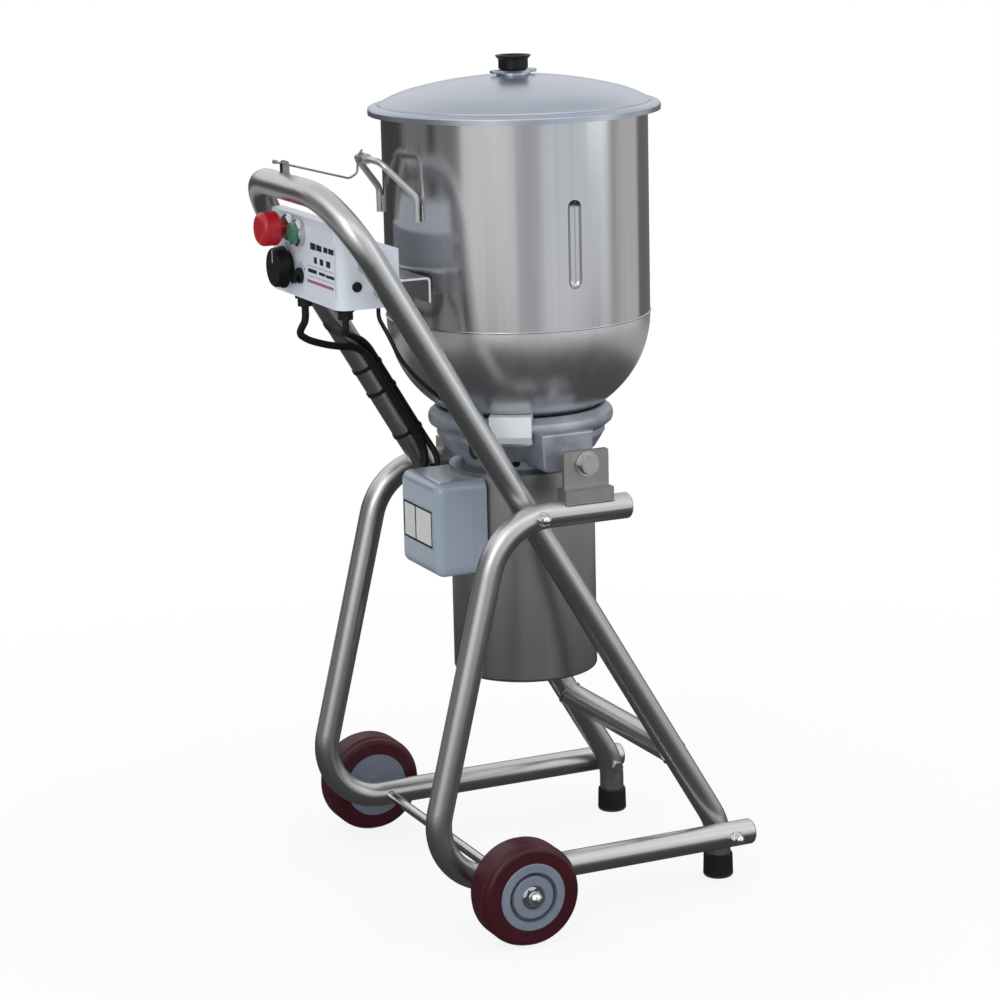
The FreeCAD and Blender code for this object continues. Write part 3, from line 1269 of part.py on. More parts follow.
def speed_knob():
    """Large control knob with a skirt and a fluted grip."""
    r = SPEED_D / 2
    base = SPEED_GAP
    top = SPEED_GAP + SPEED_H
    neck = SPEED_NECK_D / 2
    skirt = base + SPEED_NECK_H
    outline = [(0, base), (neck, base), (neck, skirt), (r, skirt), (r, skirt + 3), (r - 1.2, skirt + 4.2), (r - 2, top - 1.5),
               (r - 3.5, top), (0, top)]
    knob = lathe(outline, V(SPEED_X, PANEL_Y, SPEED_Z), V(0, -1, 0))
    flutes = []
    for k in range(12):
        angle = math.radians(15 + 30 * k)
        centre = V(SPEED_X + (r + 1.6) * math.cos(angle), PANEL_Y - skirt - 4.2, SPEED_Z + (r + 1.6) * math.sin(angle))
        flutes.append(rod(centre, V(0, -1, 0), SPEED_H, 3.2))
    knob = knob.cut(group(flutes))
    spindle = rod(V(SPEED_X, PANEL_Y + BOX_WALL + 8, SPEED_Z), V(0, -1, 0), BOX_WALL + 8 + base, SPINDLE_D / 2)
    return knob.fuse(spindle).removeSplitter()


def selector_knob():
    """Small knob with a pointer bar across it."""
    r = SELECT_D / 2
    base = SPEED_GAP
    skirt = lathe([(0, base), (r, base), (r, base + 3), (r - 1, base + 4), (0, base + 4)],
                  V(SELECT_X, PANEL_Y, SELECT_Z), V(0, -1, 0))
    bar = box((SELECT_X - r - 3, PANEL_Y - base - SELECT_H, SELECT_Z - 3.5), (SELECT_X + r - 1, PANEL_Y - base - 3, SELECT_Z + 3.5))
    bar = bar.makeFillet(1.5, [e for e in bar.Edges if abs(e.tangentAt(e.FirstParameter).y) > 0.99])
    bar.rotate(V(SELECT_X, 0, SELECT_Z), Y, -40)
    spindle = rod(V(SELECT_X, PANEL_Y + BOX_WALL + 8, SELECT_Z), V(0, -1, 0), BOX_WALL + 8 + base, SPINDLE_D / 2)
    return skirt.fuse([bar, spindle]).removeSplitter()


# Backstop

def stop_channel():
    """Folded channel on the box's back cover, against which the cup comes to rest."""
    rear = BOX_FRONT_Y + COVER_PLATE_T
    t = STOP_T
    outer = box((-BOX_HALF_W, rear, STOP_LOW_Z), (BOX_HALF_W, STOP_Y, STOP_TOP_Z))
    outer = outer.makeFillet(2 * t, [e for e in outer.Edges if abs(e.tangentAt(e.FirstParameter).x) > 0.99 and
                                     abs(e.CenterOfMass.z - STOP_TOP_Z) < 0.01])
    inner = box((-BOX_HALF_W - 1, rear + t, STOP_LOW_Z - 1), (BOX_HALF_W + 1, STOP_Y - t, STOP_TOP_Z - t))
    inner = inner.makeFillet(t, [e for e in inner.Edges if abs(e.tangentAt(e.FirstParameter).x) > 0.99 and
                                 abs(e.CenterOfMass.z - STOP_TOP_Z + t) < 0.01])
    return outer.cut(inner)


def cup_buffers():
    """Rubber buffers on the channel's face; the cup leans on them."""
    z = (STOP_TOP_Z + STOP_LOW_Z) / 2 - 2
    wall = rod(V(0, 0, BOWL_TOP_Z), Z, CUP_RIM_Z - BOWL_TOP_Z, CUP_R + BUFFER_GAP)
    pieces = []
    for sign in SIDES.values():
        body = rod(V(sign * BUFFER_X, STOP_Y, z), Y, CUP_R, BUFFER_D / 2).cut(wall)
        pieces.append(min(body.Solids, key=lambda s: s.CenterOfMass.y))
    return group(pieces)


# Cables

def box_glands():
    """Glands under the control box, and the rubber grommet in its right side."""
    down = V(0, 0, -1)
    pieces = []
    for (x, y), cable_d in zip(GLAND_PLACES, (CABLE_D, CONTROL_CABLE_D)):
        pieces.append(gland(V(x, y, BOX_LOW_Z), down, cable_d))
    lip = 1.6
    start = V(BOX_HALF_W, grommet_y(), grommet_z())
    grommet = rod(start, X, lip, GROMMET_D / 2 + 1.5)
    pieces.append(grommet.fuse(rod(start - X * BOX_WALL, X, BOX_WALL, GROMMET_D / 2 - 0.02)).removeSplitter())
    return group(pieces)


def beside_arm(sign, z, angle, radius):
    """Centre of a cable that lies on an arm, where the arm's axis is at height z."""
    reach = TUBE_R + CABLE_SKIN + radius
    lean = math.radians(angle)
    upper = ARM_DIR.cross(X)
    centre = V(sign * ARM_X, arm_y(z), z)
    return centre - X * sign * reach * math.cos(lean) + upper * reach * math.sin(lean)


def cable(points, radius):
    """A cable along its route, with every bend as wide as its two runs allow."""
    radii = []
    for before, here, after in zip(points, points[1:], points[2:]):
        turn = math.acos(max(-1.0, min(1.0, (here - before).normalize().dot((after - here).normalize()))))
        shorter = min(here.distanceToPoint(before), after.distanceToPoint(here))
        radii.append(0.45 * shorter / math.tan(turn / 2))
    return bent_rod(points, radii, radius)


def motor_cables():
    """From the glands under the box, out in a loop, and down the left arm."""
    (ax, ay), (bx, by) = GLAND_PLACES
    low = BOX_LOW_Z - GLAND_H
    r = CABLE_D / 2
    first = [V(ax, ay, low), V(ax, ay, low - 18), V(-72, -262, low - 38), V(-100, -238, low - 53),
             V(-116, -200, low - 66), beside_arm(-1, 664, CABLE_ANGLE, r), beside_arm(-1, CABLE_END_Z, CABLE_ANGLE, r)]
    q = CONTROL_CABLE_D / 2
    second = [V(bx, by, low), V(bx, by, low - 15), V(bx - 44, by + 8, low - 25), V(bx - 92, by + 14, low - 20),
              V(-68, by + 30, low - 27), V(-106, by + 49, low - 41), V(-121, by + 82, low - 54), beside_arm(-1, 666, CONTROL_ANGLE, q),
              beside_arm(-1, CABLE_END_Z, CONTROL_ANGLE, q)]
    return first, second


def switch_cable_route():
    """From the control box, bowed out beside the right arm, to where it is tied inside it."""
    x, y = SWITCH_EXIT
    r = SWITCH_CABLE_D / 2
    return [V(x, y, BOX_LOW_Z), V(x, y, BOX_LOW_Z - 14), V(120, -223, 725), V(124, -212, 698), V(126, -188, 668),
            beside_arm(1, 626, 0, r), beside_arm(1, SWITCH_END_Z, 0, r)]


def motor_cable():
    first, second = motor_cables()
    pieces = [cable(first, CABLE_D / 2), cable(second, CONTROL_CABLE_D / 2), cable(switch_cable_route(), SWITCH_CABLE_D / 2)]
    return group(pieces)


def cable_loops():
    """The slack lengths between the arms and the tilting unit."""
    first, second = motor_cables()
    face = -TBOX_HALF_W - GLAND_H
    y = TERMINAL_Y
    z1, z2 = TERMINAL_HEIGHTS
    down = ARM_DIR * -1
    a = first[-1]
    loop_a = [a, a + down * 20, V(-120, y + 37, z1 + 4), V(-112, y + 20, z1 - 16), V(-102, y + 4, z1 - 12),
              V(face - 15, y, z1), V(face, y, z1)]
    b = second[-1]
    loop_b = [b, b + down * 11, V(-119, y + 58, z2 + 50), V(-113, y + 46, z2 + 12), V(-110, y + 23, z2 - 15),
              V(-101, y + 4, z2 - 12), V(face - 14, y, z2), V(face, y, z2)]
    c = switch_cable_route()[-1]
    end = cover_cable_end()
    away = cover_cable_way()
    loop_c = [c, c + down * 20, V(118, -110, 566), V(99, -113, 566), V(84, -106, 580), end + away * 13, end]
    return group([cable(loop_a, CABLE_D / 2), cable(loop_b, CONTROL_CABLE_D / 2), cable(loop_c, SWITCH_CABLE_D / 2)])


def cover_cable_end():
    """Where the switch's cable meets the interlock cover's side."""
    point = V((CAST_R + 1.7 + COVER_OUT_R) / 2, -COVER_W / 2, COVER_HIGH_Z - 14)
    return turned(point)


def cover_cable_way():
    return turned(V(0, -1, 0))


def turned(point):
    angle = math.radians(COVER_ANGLE)
    x = point.x * math.cos(angle) - point.y * math.sin(angle)
    y = point.x * math.sin(angle) + point.y * math.cos(angle)
    return V(x, y, point.z)


def tie(sign, z, cables):
    """A cable tie round an arm and the cables on it. cables holds (angle, radius) pairs."""
    centre = V(sign * ARM_X, arm_y(z), z)
    start = centre - ARM_DIR * TIE_W / 2
    band = rod(start, ARM_DIR, TIE_W, TUBE_R + TIE_T + 0.05)
    hole = rod(start, ARM_DIR, TIE_W, TUBE_R + 0.05)
    for angle, radius in cables:
        at = beside_arm(sign, z, angle, radius) - ARM_DIR * TIE_W / 2
        band = band.fuse(rod(at, ARM_DIR, TIE_W, radius + TIE_T + 0.05))
        hole = hole.fuse(rod(at, ARM_DIR, TIE_W, radius + 0.05))
    return max(band.cut(hole).removeSplitter().Solids, key=lambda s: s.Volume)


def switch_clip():
    """A small clip on the inner side of the right arm, which holds the switch's cable."""
    radius = SWITCH_CABLE_D / 2
    start = beside_arm(1, SWITCH_CLIP_Z, 0, radius) - ARM_DIR * TIE_W / 2
    band = rod(start, ARM_DIR, TIE_W, radius + TIE_T + 0.05)
    band = band.cut(rod(start, ARM_DIR, TIE_W, radius + 0.05))
    centre = V(ARM_X, arm_y(SWITCH_CLIP_Z), SWITCH_CLIP_Z)
    return band.cut(rod(centre - ARM_DIR * 20, ARM_DIR, 40, TUBE_R)).Solids[0]


def cable_ties():
    pair = [(CABLE_ANGLE, CABLE_D / 2), (CONTROL_ANGLE, CONTROL_CABLE_D / 2)]
    return group([tie(-1, z, pair) for z in TIE_HEIGHTS] + [switch_clip()])


def main():
    for name, sign in SIDES.items():
        save(side_frame(sign), f"{name}_side_frame")
        save(pivot_bracket(sign), f"{name}_pivot_bracket")
        save(tyre(sign), f"{name}_wheel_tyre")
        save(hub(sign), f"{name}_wheel_hub")
    pieces = {
        "tube_end_caps": end_caps, "handle_frame": handle_frame, "cross_tube": cross_tube, "front_feet": front_feet,
        "frame_bolts": frame_bolts, "wheel_axle": wheel_axle, "axle_hardware": axle_hardware,
        "cup": cup, "cup_bottom": cup_bottom, "cup_handle": cup_handle, "latch_eye": latch_eye,
        "latch_wire": latch_wire, "lid": lid, "lid_boss": lid_boss, "lid_knob": lid_knob,
        "base_casting": base_casting, "tilt_pins": tilt_pins, "cup_gasket": cup_gasket, "cup_bolts": cup_bolts,
        "lantern": lantern, "motor_sleeve": motor_sleeve, "motor_top_shield": top_shield,
        "motor_bottom_shield": bottom_shield, "fan_guard": fan_guard, "stator": stator, "motor_bearings": motor_bearings,
        "shaft_seal": shaft_seal, "motor_shaft": motor_shaft, "motor_fan": motor_fan, "blades": blades,
        "blade_nut": blade_nut, "interlock_cover": interlock_cover, "interlock_switch": interlock_switch,
        "terminal_box_base": terminal_box_base, "terminal_box_lid": terminal_box_lid,
        "terminal_glands": terminal_glands, "control_box": control_box, "control_box_cover": box_cover,
        "box_standoffs": box_standoffs, "box_screws": box_screws, "panel_collars": panel_collars,
        "contact_blocks": contact_blocks, "stop_button": stop_button, "start_button": start_button,
        "speed_knob": speed_knob, "selector_knob": selector_knob, "stop_channel": stop_channel,
        "cup_buffers": cup_buffers, "box_glands": box_glands, "arm_cables": motor_cable, "cable_loops": cable_loops,
        "cable_ties": cable_ties,
    }
    for name, build in pieces.items():
        save(build(), name)


main()
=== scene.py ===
# %% [markdown]
# # A tilting blender on a wheeled stand
# The machine is a steel cup with a lid, set on a cast base over a motor housing. That whole unit hangs
# between two bent tube frames and tips forward to pour. A push handle carries the control box.
# The solids come packed, with their bodies and joints, and this file gives them their finishes, adds the
# fine pieces that are only looks, and sets up the studio and the camera.

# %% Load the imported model
import bpy
import bmesh
import json
import math
from mathutils import Matrix, Vector


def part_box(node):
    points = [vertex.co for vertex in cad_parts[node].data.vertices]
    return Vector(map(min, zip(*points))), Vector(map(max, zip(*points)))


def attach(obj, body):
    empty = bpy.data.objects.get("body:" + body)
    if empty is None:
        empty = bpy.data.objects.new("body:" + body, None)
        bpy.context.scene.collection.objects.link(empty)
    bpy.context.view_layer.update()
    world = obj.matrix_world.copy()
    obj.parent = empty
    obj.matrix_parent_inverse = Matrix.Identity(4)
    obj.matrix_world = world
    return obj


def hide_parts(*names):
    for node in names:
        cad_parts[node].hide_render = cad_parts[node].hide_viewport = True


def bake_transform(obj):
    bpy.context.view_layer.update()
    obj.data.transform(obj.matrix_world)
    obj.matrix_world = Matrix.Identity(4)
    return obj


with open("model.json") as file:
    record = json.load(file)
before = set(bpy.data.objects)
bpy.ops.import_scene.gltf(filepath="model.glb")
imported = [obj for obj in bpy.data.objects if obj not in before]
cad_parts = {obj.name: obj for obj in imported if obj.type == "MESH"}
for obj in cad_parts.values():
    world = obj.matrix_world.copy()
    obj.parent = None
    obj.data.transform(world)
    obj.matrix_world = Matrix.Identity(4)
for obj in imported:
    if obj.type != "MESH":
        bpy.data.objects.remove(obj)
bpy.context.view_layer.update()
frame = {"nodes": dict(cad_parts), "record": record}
nodes = frame["nodes"]
print("pieces in the frame:", len(nodes))

CUP_Y = 0.0495      # the cup's axis lies this far in front of the machine's middle
MM = 0.001


def at(x, y, z):
    """A point given in millimetres from the cup's axis, as a place in the scene."""
    return Vector((x * MM, y * MM + CUP_Y, z * MM))


# %% [markdown]
# ## The camera
# The photograph was taken from the operator's right, a little above the cup's middle, with a long lens.
# The camera is put back at that place by its direction, its height angle and its distance, and it leans by
# a little over a degree, as the photograph does.

# %% Place the camera
AIM = at(0, -30.73, 482.68)
AZIMUTH, ELEVATION, LEAN = math.radians(65.44), math.radians(12.91), math.radians(-1.33)
DISTANCE = 3.8
level = math.cos(ELEVATION)
toward = Vector((math.sin(AZIMUTH) * level, -math.cos(AZIMUTH) * level, math.sin(ELEVATION)))
right = Vector((math.cos(AZIMUTH), math.sin(AZIMUTH), 0))
up = toward.cross(right)
right_leant = right * math.cos(LEAN) + up * math.sin(LEAN)
up_leant = toward.cross(right_leant)
camera_data = bpy.data.cameras.new("camera")
camera_data.lens = 110.14
camera_data.sensor_width = 36
camera_data.clip_end = 50
camera = bpy.data.objects.new("camera", camera_data)
bpy.context.scene.collection.objects.link(camera)
turn = Matrix((right_leant, up_leant, toward)).transposed().to_4x4()
camera.matrix_world = Matrix.Translation(AIM + toward * DISTANCE) @ turn
bpy.context.scene.camera = camera
bpy.context.scene.view_settings.view_transform = "Standard"
print("camera stands at", [round(v, 3) for v in camera.location])

# %% [markdown]
# ## The studio
# The machine stands on a pale floor in front of plain white. The floor could be lit until it turns white,
# but that light would also fall on the machine. So its colour does it: where the lens looks at the floor,
# most of it is plain white, and the rest still takes the machine's shadow.

# %% Floor, sky and lamps
def plain_object(name, mesh):
    piece = bpy.data.objects.new(name, mesh)
    bpy.context.scene.collection.objects.link(piece)
    return piece


def flat_sheet(name, corners):
    mesh = bpy.data.meshes.new(name)
    mesh.from_pydata([tuple(c) for c in corners], [], [(0, 1, 2, 3)])
    return plain_object(name, mesh)


def new_material(name):
    material = bpy.data.materials.new(name)
    material.use_nodes = True
    material.node_tree.nodes.clear()
    return material


def looked_at(tree):
    """One where the lens, a mirror or glass looks at this surface, and nothing for the light itself."""
    path = tree.nodes.new("ShaderNodeLightPath")
    total = path.outputs["Is Camera Ray"]
    for ray in ("Is Glossy Ray", "Is Transmission Ray"):
        add = tree.nodes.new("ShaderNodeMath")
        add.operation = "ADD"
        add.use_clamp = True
        tree.links.new(total, add.inputs[0])
        tree.links.new(path.outputs[ray], add.inputs[1])
        total = add.outputs[0]
    return total

def pale_floor_material():
    """A pale floor that fades to plain white away from the machine, and keeps a soft shadow under it."""
    material = new_material("pale floor")
    tree = material.node_tree
    out = tree.nodes.new("ShaderNodeOutputMaterial")
    mix = tree.nodes.new("ShaderNodeMixShader")
    paint = tree.nodes.new("ShaderNodeBsdfDiffuse")
    paint.inputs["Color"].default_value = (0.82, 0.82, 0.82, 1)
    white = tree.nodes.new("ShaderNodeEmission")
    white.inputs["Strength"].default_value = 1.0
    place = tree.nodes.new("ShaderNodeTexCoord")
    reach = tree.nodes.new("ShaderNodeVectorMath")
    reach.operation = "LENGTH"
    fade = tree.nodes.new("ShaderNodeMapRange")
    fade.inputs["From Min"].default_value = 0.45
    fade.inputs["From Max"].default_value = 1.5
    fade.inputs["To Min"].default_value = 0.87
    fade.inputs["To Max"].default_value = 1.0
    share = tree.nodes.new("ShaderNodeMath")
    share.operation = "MULTIPLY"
    tree.links.new(place.outputs["Object"], reach.inputs[0])
    tree.links.new(reach.outputs["Value"], fade.inputs["Value"])
    tree.links.new(fade.outputs["Result"], share.inputs[0])
    tree.links.new(looked_at(tree), share.inputs[1])
    tree.links.new(share.outputs[0], mix.inputs[0])
    tree.links.new(paint.outputs[0], mix.inputs[1])
    tree.links.new(white.outputs[0], mix.inputs[2])
    tree.links.new(mix.outputs[0], out.inputs[0])
    return material


floor = flat_sheet("floor", [(-9, -9, 0), (9, -9, 0), (9, 9, 0), (-9, 9, 0)])
floor.data.materials.append(pale_floor_material())

# %% The room's light
def make_room():
    """Grey low down and paler overhead for the light itself, and plain white to the lens and to mirrors."""
    world = bpy.data.worlds.new("studio")
    bpy.context.scene.world = world
    world.use_nodes = True
    sky = world.node_tree
    sky.nodes.clear()
    out = sky.nodes.new("ShaderNodeOutputWorld")
    mix = sky.nodes.new("ShaderNodeMixShader")
    room = sky.nodes.new("ShaderNodeBackground")
    backdrop = sky.nodes.new("ShaderNodeBackground")
    backdrop.inputs["Color"].default_value = (1, 1, 1, 1)
    place = sky.nodes.new("ShaderNodeTexCoord")
    split = sky.nodes.new("ShaderNodeSeparateXYZ")
    height = sky.nodes.new("ShaderNodeMapRange")
    height.inputs["From Min"].default_value = -0.2
    height.inputs["From Max"].default_value = 0.6
    tone = sky.nodes.new("ShaderNodeValToRGB")
    tone.color_ramp.elements[0].color = (0.30, 0.30, 0.31, 1)
    tone.color_ramp.elements[1].color = (0.70, 0.71, 0.74, 1)
    sky.links.new(place.outputs["Generated"], split.inputs[0])
    sky.links.new(split.outputs["Z"], height.inputs["Value"])
    sky.links.new(height.outputs["Result"], tone.inputs[0])
    sky.links.new(tone.outputs[0], room.inputs["Color"])
    sky.links.new(looked_at(sky), mix.inputs[0])
    sky.links.new(room.outputs[0], mix.inputs[1])
    sky.links.new(backdrop.outputs[0], mix.inputs[2])
    sky.links.new(mix.outputs[0], out.inputs[0])


def lamp(name, place_xyz, aim_xyz, width, height, power):
    data = bpy.data.lights.new(name, "AREA")
    data.shape = "RECTANGLE"
    data.size = width
    data.size_y = height
    data.energy = power
    piece = bpy.data.objects.new(name, data)
    piece.location = place_xyz
    piece.rotation_euler = (Vector(aim_xyz) - Vector(place_xyz)).to_track_quat("-Z", "Y").to_euler()
    bpy.context.scene.collection.objects.link(piece)
    return piece


make_room()
lamp("top_softbox", (0.4, -0.2, 3.2), (0, 0, 0.5), 4.2, 4.2, 34)
lamp("key_softbox", (2.6, -2.4, 2.2), (0, 0, 0.6), 0.8, 2.2, 23)
lamp("side_softbox", (2.3, 2.6, 1.7), (0, 0, 0.6), 1.4, 2.4, 7.5)
back = lamp("back_softbox", (-3.0, 0.6, 1.8), (0, 0, 0.6), 2.4, 2.4, 9)
back.visible_glossy = False
print("the floor, the room and four lamps are up")

# %% [markdown]
# A mirror-bright cup in a white room would be white all over. Photographers stand dark cloths round such
# a piece, outside the picture, so that the metal shows soft dark bands between the bright ones. The same is
# done here with curved screens, two cloths on the floor and a pale canopy over the lid, which only mirrors
# can see. The lamp behind the machine gives plain light and leaves no bright spot in the metal.

# %% Dark screens round the machine
def seen_only_in_mirrors(piece, shade, cool=1.0):
    material = new_material(piece.name)
    tree = material.node_tree
    glow = tree.nodes.new("ShaderNodeEmission")
    glow.inputs["Color"].default_value = (shade, shade * (1 + cool) / 2, shade * cool, 1)
    out = tree.nodes.new("ShaderNodeOutputMaterial")
    tree.links.new(glow.outputs[0], out.inputs[0])
    piece.data.materials.append(material)
    piece.visible_camera = False
    piece.visible_diffuse = False
    piece.visible_shadow = False


def screen(name, first_degree, last_degree, high, shade, distance=3.4, low=0.01, cool=1.0):
    """A curved upright cloth. Degrees are counted from the operator's side towards the operator's right."""
    steps = max(2, int(abs(last_degree - first_degree) / 4))
    points, faces = [], []
    for step in range(steps + 1):
        a = math.radians(first_degree + (last_degree - first_degree) * step / steps)
        for z in (low, high):
            points.append((math.sin(a) * distance, -math.cos(a) * distance, z))
    for step in range(steps):
        faces.append((2 * step, 2 * step + 2, 2 * step + 3, 2 * step + 1))
    mesh = bpy.data.meshes.new(name)
    mesh.from_pydata(points, [], faces)
    seen_only_in_mirrors(plain_object(name, mesh), shade, cool)


def cloth(name, reach, height, shade):
    """A square cloth that lies round the machine."""
    corners = ((-reach, -reach), (reach, -reach), (reach, reach), (-reach, reach))
    seen_only_in_mirrors(flat_sheet(name, [(x, y, height) for x, y in corners]), shade)


# Name, first and last degree, height in metres and shade, from black at 0 to white at 1.
screen("screen_left", -117, -46, 1.3, 0.07)
screen("screen_operator", -46, 19, 2.4, 0.26)
screen("screen_operator_post", -13, -6, 2.6, 0.05, distance=3.1)
screen("screen_lens", 66, 87, 2.2, 0.62, cool=1.05)
screen("screen_right", 87, 146, 2.2, 0.90, distance=5.2, cool=1.10)
screen("screen_front", 150, 163, 2.5, 0.55)
screen("screen_front_pale", 163, 192, 2.5, 0.72)
screen("screen_far", 192, 243, 1.3, 0.18)
cloth("floor_cloth", 1.5, 0.006, 0.068)
cloth("outer_cloth", 3.3, 0.004, 0.42)
CANOPY_Z = 1.9
canopy_corners = ((-0.9, -0.85), (-0.9, 0.95), (0.9, 0.95), (0.9, -0.85))
canopy = flat_sheet("canopy", [(x, y, CANOPY_Z) for x, y in canopy_corners])
seen_only_in_mirrors(canopy, 0.85)
print("screens stand round the machine")

# %% [markdown]
# ## Shared effects
# Almost every finish here needs the same few things: a soft change of tone over the surface, the fine
# scratches that brushing leaves, and a fine grain. They are two node groups with named inputs, made once
# and placed in each material with its own values.

# %% Node groups
def new_group(name, inputs, outputs):
    group = bpy.data.node_groups.new(name, "ShaderNodeTree")
    for title, kind, value in inputs:
        socket = group.interface.new_socket(name=title, in_out="INPUT", socket_type=kind)
        socket.default_value = value
    for title, kind in outputs:
        group.interface.new_socket(name=title, in_out="OUTPUT", socket_type=kind)
    return group, group.nodes.new("NodeGroupInput"), group.nodes.new("NodeGroupOutput")


def group_math(group, operation, a, b):
    """A sum or product inside a group. a and b are sockets or plain numbers."""
    node = group.nodes.new("ShaderNodeMath")
    node.operation = operation
    for slot_number, value in enumerate((a, b)):
        if isinstance(value, (int, float)):
            node.inputs[slot_number].default_value = value
        else:
            group.links.new(value, node.inputs[slot_number])
    return node.outputs[0]


def make_brushed_group():
    """Streaks along one direction. The scale along each axis says which way the brushing runs."""
    group, source, result = new_group(
        "brushed metal",
        [("Along", "NodeSocketVector", (300, 300, 4)), ("Base Roughness", "NodeSocketFloat", 0.25),
         ("Roughness Spread", "NodeSocketFloat", 0.1), ("Dark", "NodeSocketColor", (0.4, 0.4, 0.4, 1)),
         ("Light", "NodeSocketColor", (0.6, 0.6, 0.6, 1)), ("Cloud Scale", "NodeSocketFloat", 6.0)],
        [("Color", "NodeSocketColor"), ("Roughness", "NodeSocketFloat"), ("Height", "NodeSocketFloat")])
    coordinate = group.nodes.new("ShaderNodeTexCoord")
    stretch = group.nodes.new("ShaderNodeVectorMath")
    stretch.operation = "MULTIPLY"
    group.links.new(coordinate.outputs["Object"], stretch.inputs[0])
    group.links.new(source.outputs["Along"], stretch.inputs[1])
    streak = group.nodes.new("ShaderNodeTexNoise")
    streak.inputs["Scale"].default_value = 1.0
    streak.inputs["Detail"].default_value = 3.0
    group.links.new(stretch.outputs[0], streak.inputs["Vector"])
    cloud = group.nodes.new("ShaderNodeTexNoise")
    cloud.inputs["Detail"].default_value = 4.0
    group.links.new(coordinate.outputs["Object"], cloud.inputs["Vector"])
    group.links.new(source.outputs["Cloud Scale"], cloud.inputs["Scale"])
    centred = group_math(group, "SUBTRACT", streak.outputs[0], 0.5)
    spread = group_math(group, "MULTIPLY", centred, source.outputs["Roughness Spread"])
    cloudy = group_math(group, "SUBTRACT", cloud.outputs[0], 0.5)
    cloudy = group_math(group, "MULTIPLY", cloudy, source.outputs["Roughness Spread"])
    rough = group_math(group, "ADD", source.outputs["Base Roughness"], spread)
    rough = group_math(group, "ADD", rough, cloudy)
    group.links.new(rough, result.inputs["Roughness"])
    blend_factor = group_math(group, "MULTIPLY", streak.outputs[0], 0.5)
    blend_cloud = group_math(group, "MULTIPLY", cloud.outputs[0], 0.5)
    factor = group_math(group, "ADD", blend_factor, blend_cloud)
    tint = group.nodes.new("ShaderNodeMix")
    tint.data_type = "RGBA"
    group.links.new(factor, tint.inputs[0])
    group.links.new(source.outputs["Dark"], tint.inputs[6])
    group.links.new(source.outputs["Light"], tint.inputs[7])
    group.links.new(tint.outputs[2], result.inputs["Color"])
    group.links.new(streak.outputs[0], result.inputs["Height"])
    return group


def make_grain_group():
    """Fine grain with soft clouds of tone, for castings, rubber, enamel and moulded plastic."""
    group, source, result = new_group(
        "fine grain",
        [("Grain Scale", "NodeSocketFloat", 900.0), ("Cloud Scale", "NodeSocketFloat", 12.0),
         ("Base Roughness", "NodeSocketFloat", 0.5), ("Roughness Spread", "NodeSocketFloat", 0.12),
         ("Dark", "NodeSocketColor", (0.1, 0.1, 0.1, 1)), ("Light", "NodeSocketColor", (0.2, 0.2, 0.2, 1))],
        [("Color", "NodeSocketColor"), ("Roughness", "NodeSocketFloat"), ("Height", "NodeSocketFloat")])
    coordinate = group.nodes.new("ShaderNodeTexCoord")
    grain = group.nodes.new("ShaderNodeTexNoise")
    grain.inputs["Detail"].default_value = 2.0
    cloud = group.nodes.new("ShaderNodeTexNoise")
    cloud.inputs["Detail"].default_value = 5.0
    for node, name in ((grain, "Grain Scale"), (cloud, "Cloud Scale")):
        group.links.new(coordinate.outputs["Object"], node.inputs["Vector"])
        group.links.new(source.outputs[name], node.inputs["Scale"])
    cloudy = group_math(group, "SUBTRACT", cloud.outputs[0], 0.5)
    cloudy = group_math(group, "MULTIPLY", cloudy, source.outputs["Roughness Spread"])
    rough = group_math(group, "ADD", source.outputs["Base Roughness"], cloudy)
    group.links.new(rough, result.inputs["Roughness"])
    tint = group.nodes.new("ShaderNodeMix")
    tint.data_type = "RGBA"
    group.links.new(cloud.outputs[0], tint.inputs[0])
    group.links.new(source.outputs["Dark"], tint.inputs[6])
    group.links.new(source.outputs["Light"], tint.inputs[7])
    group.links.new(tint.outputs[2], result.inputs["Color"])
    group.links.new(grain.outputs[0], result.inputs["Height"])
    return group


BRUSHED = make_brushed_group()
GRAIN = make_grain_group()
print("groups:", BRUSHED.name, "and", GRAIN.name)


# %% Finishes made from the groups
def finish_with(name, group, values, metallic=0.0, bump=0.0, bump_mm=0.2, **shader_values):
    """Colour and roughness come from a group, and the rest from the shader's own sockets."""
    material = new_material(name)
    tree = material.node_tree
    out = tree.nodes.new("ShaderNodeOutputMaterial")
    shader = tree.nodes.new("ShaderNodeBsdfPrincipled")
    effect = tree.nodes.new("ShaderNodeGroup")
    effect.node_tree = group
    for title, value in values.items():
        is_colour = title in ("Dark", "Light")
        effect.inputs[title].default_value = (*value, 1) if is_colour else value
    tree.links.new(effect.outputs["Color"], shader.inputs["Base Color"])
    tree.links.new(effect.outputs["Roughness"], shader.inputs["Roughness"])
    shader.inputs["Metallic"].default_value = metallic
    for title, value in shader_values.items():
        shader.inputs[title.replace("_", " ")].default_value = value
    if bump:
        relief = tree.nodes.new("ShaderNodeBump")
        relief.inputs["Strength"].default_value = bump
        relief.inputs["Distance"].default_value = bump_mm * MM
        tree.links.new(effect.outputs["Height"], relief.inputs["Height"])
        tree.links.new(relief.outputs[0], shader.inputs["Normal"])
    tree.links.new(shader.outputs[0], out.inputs[0])
    return material


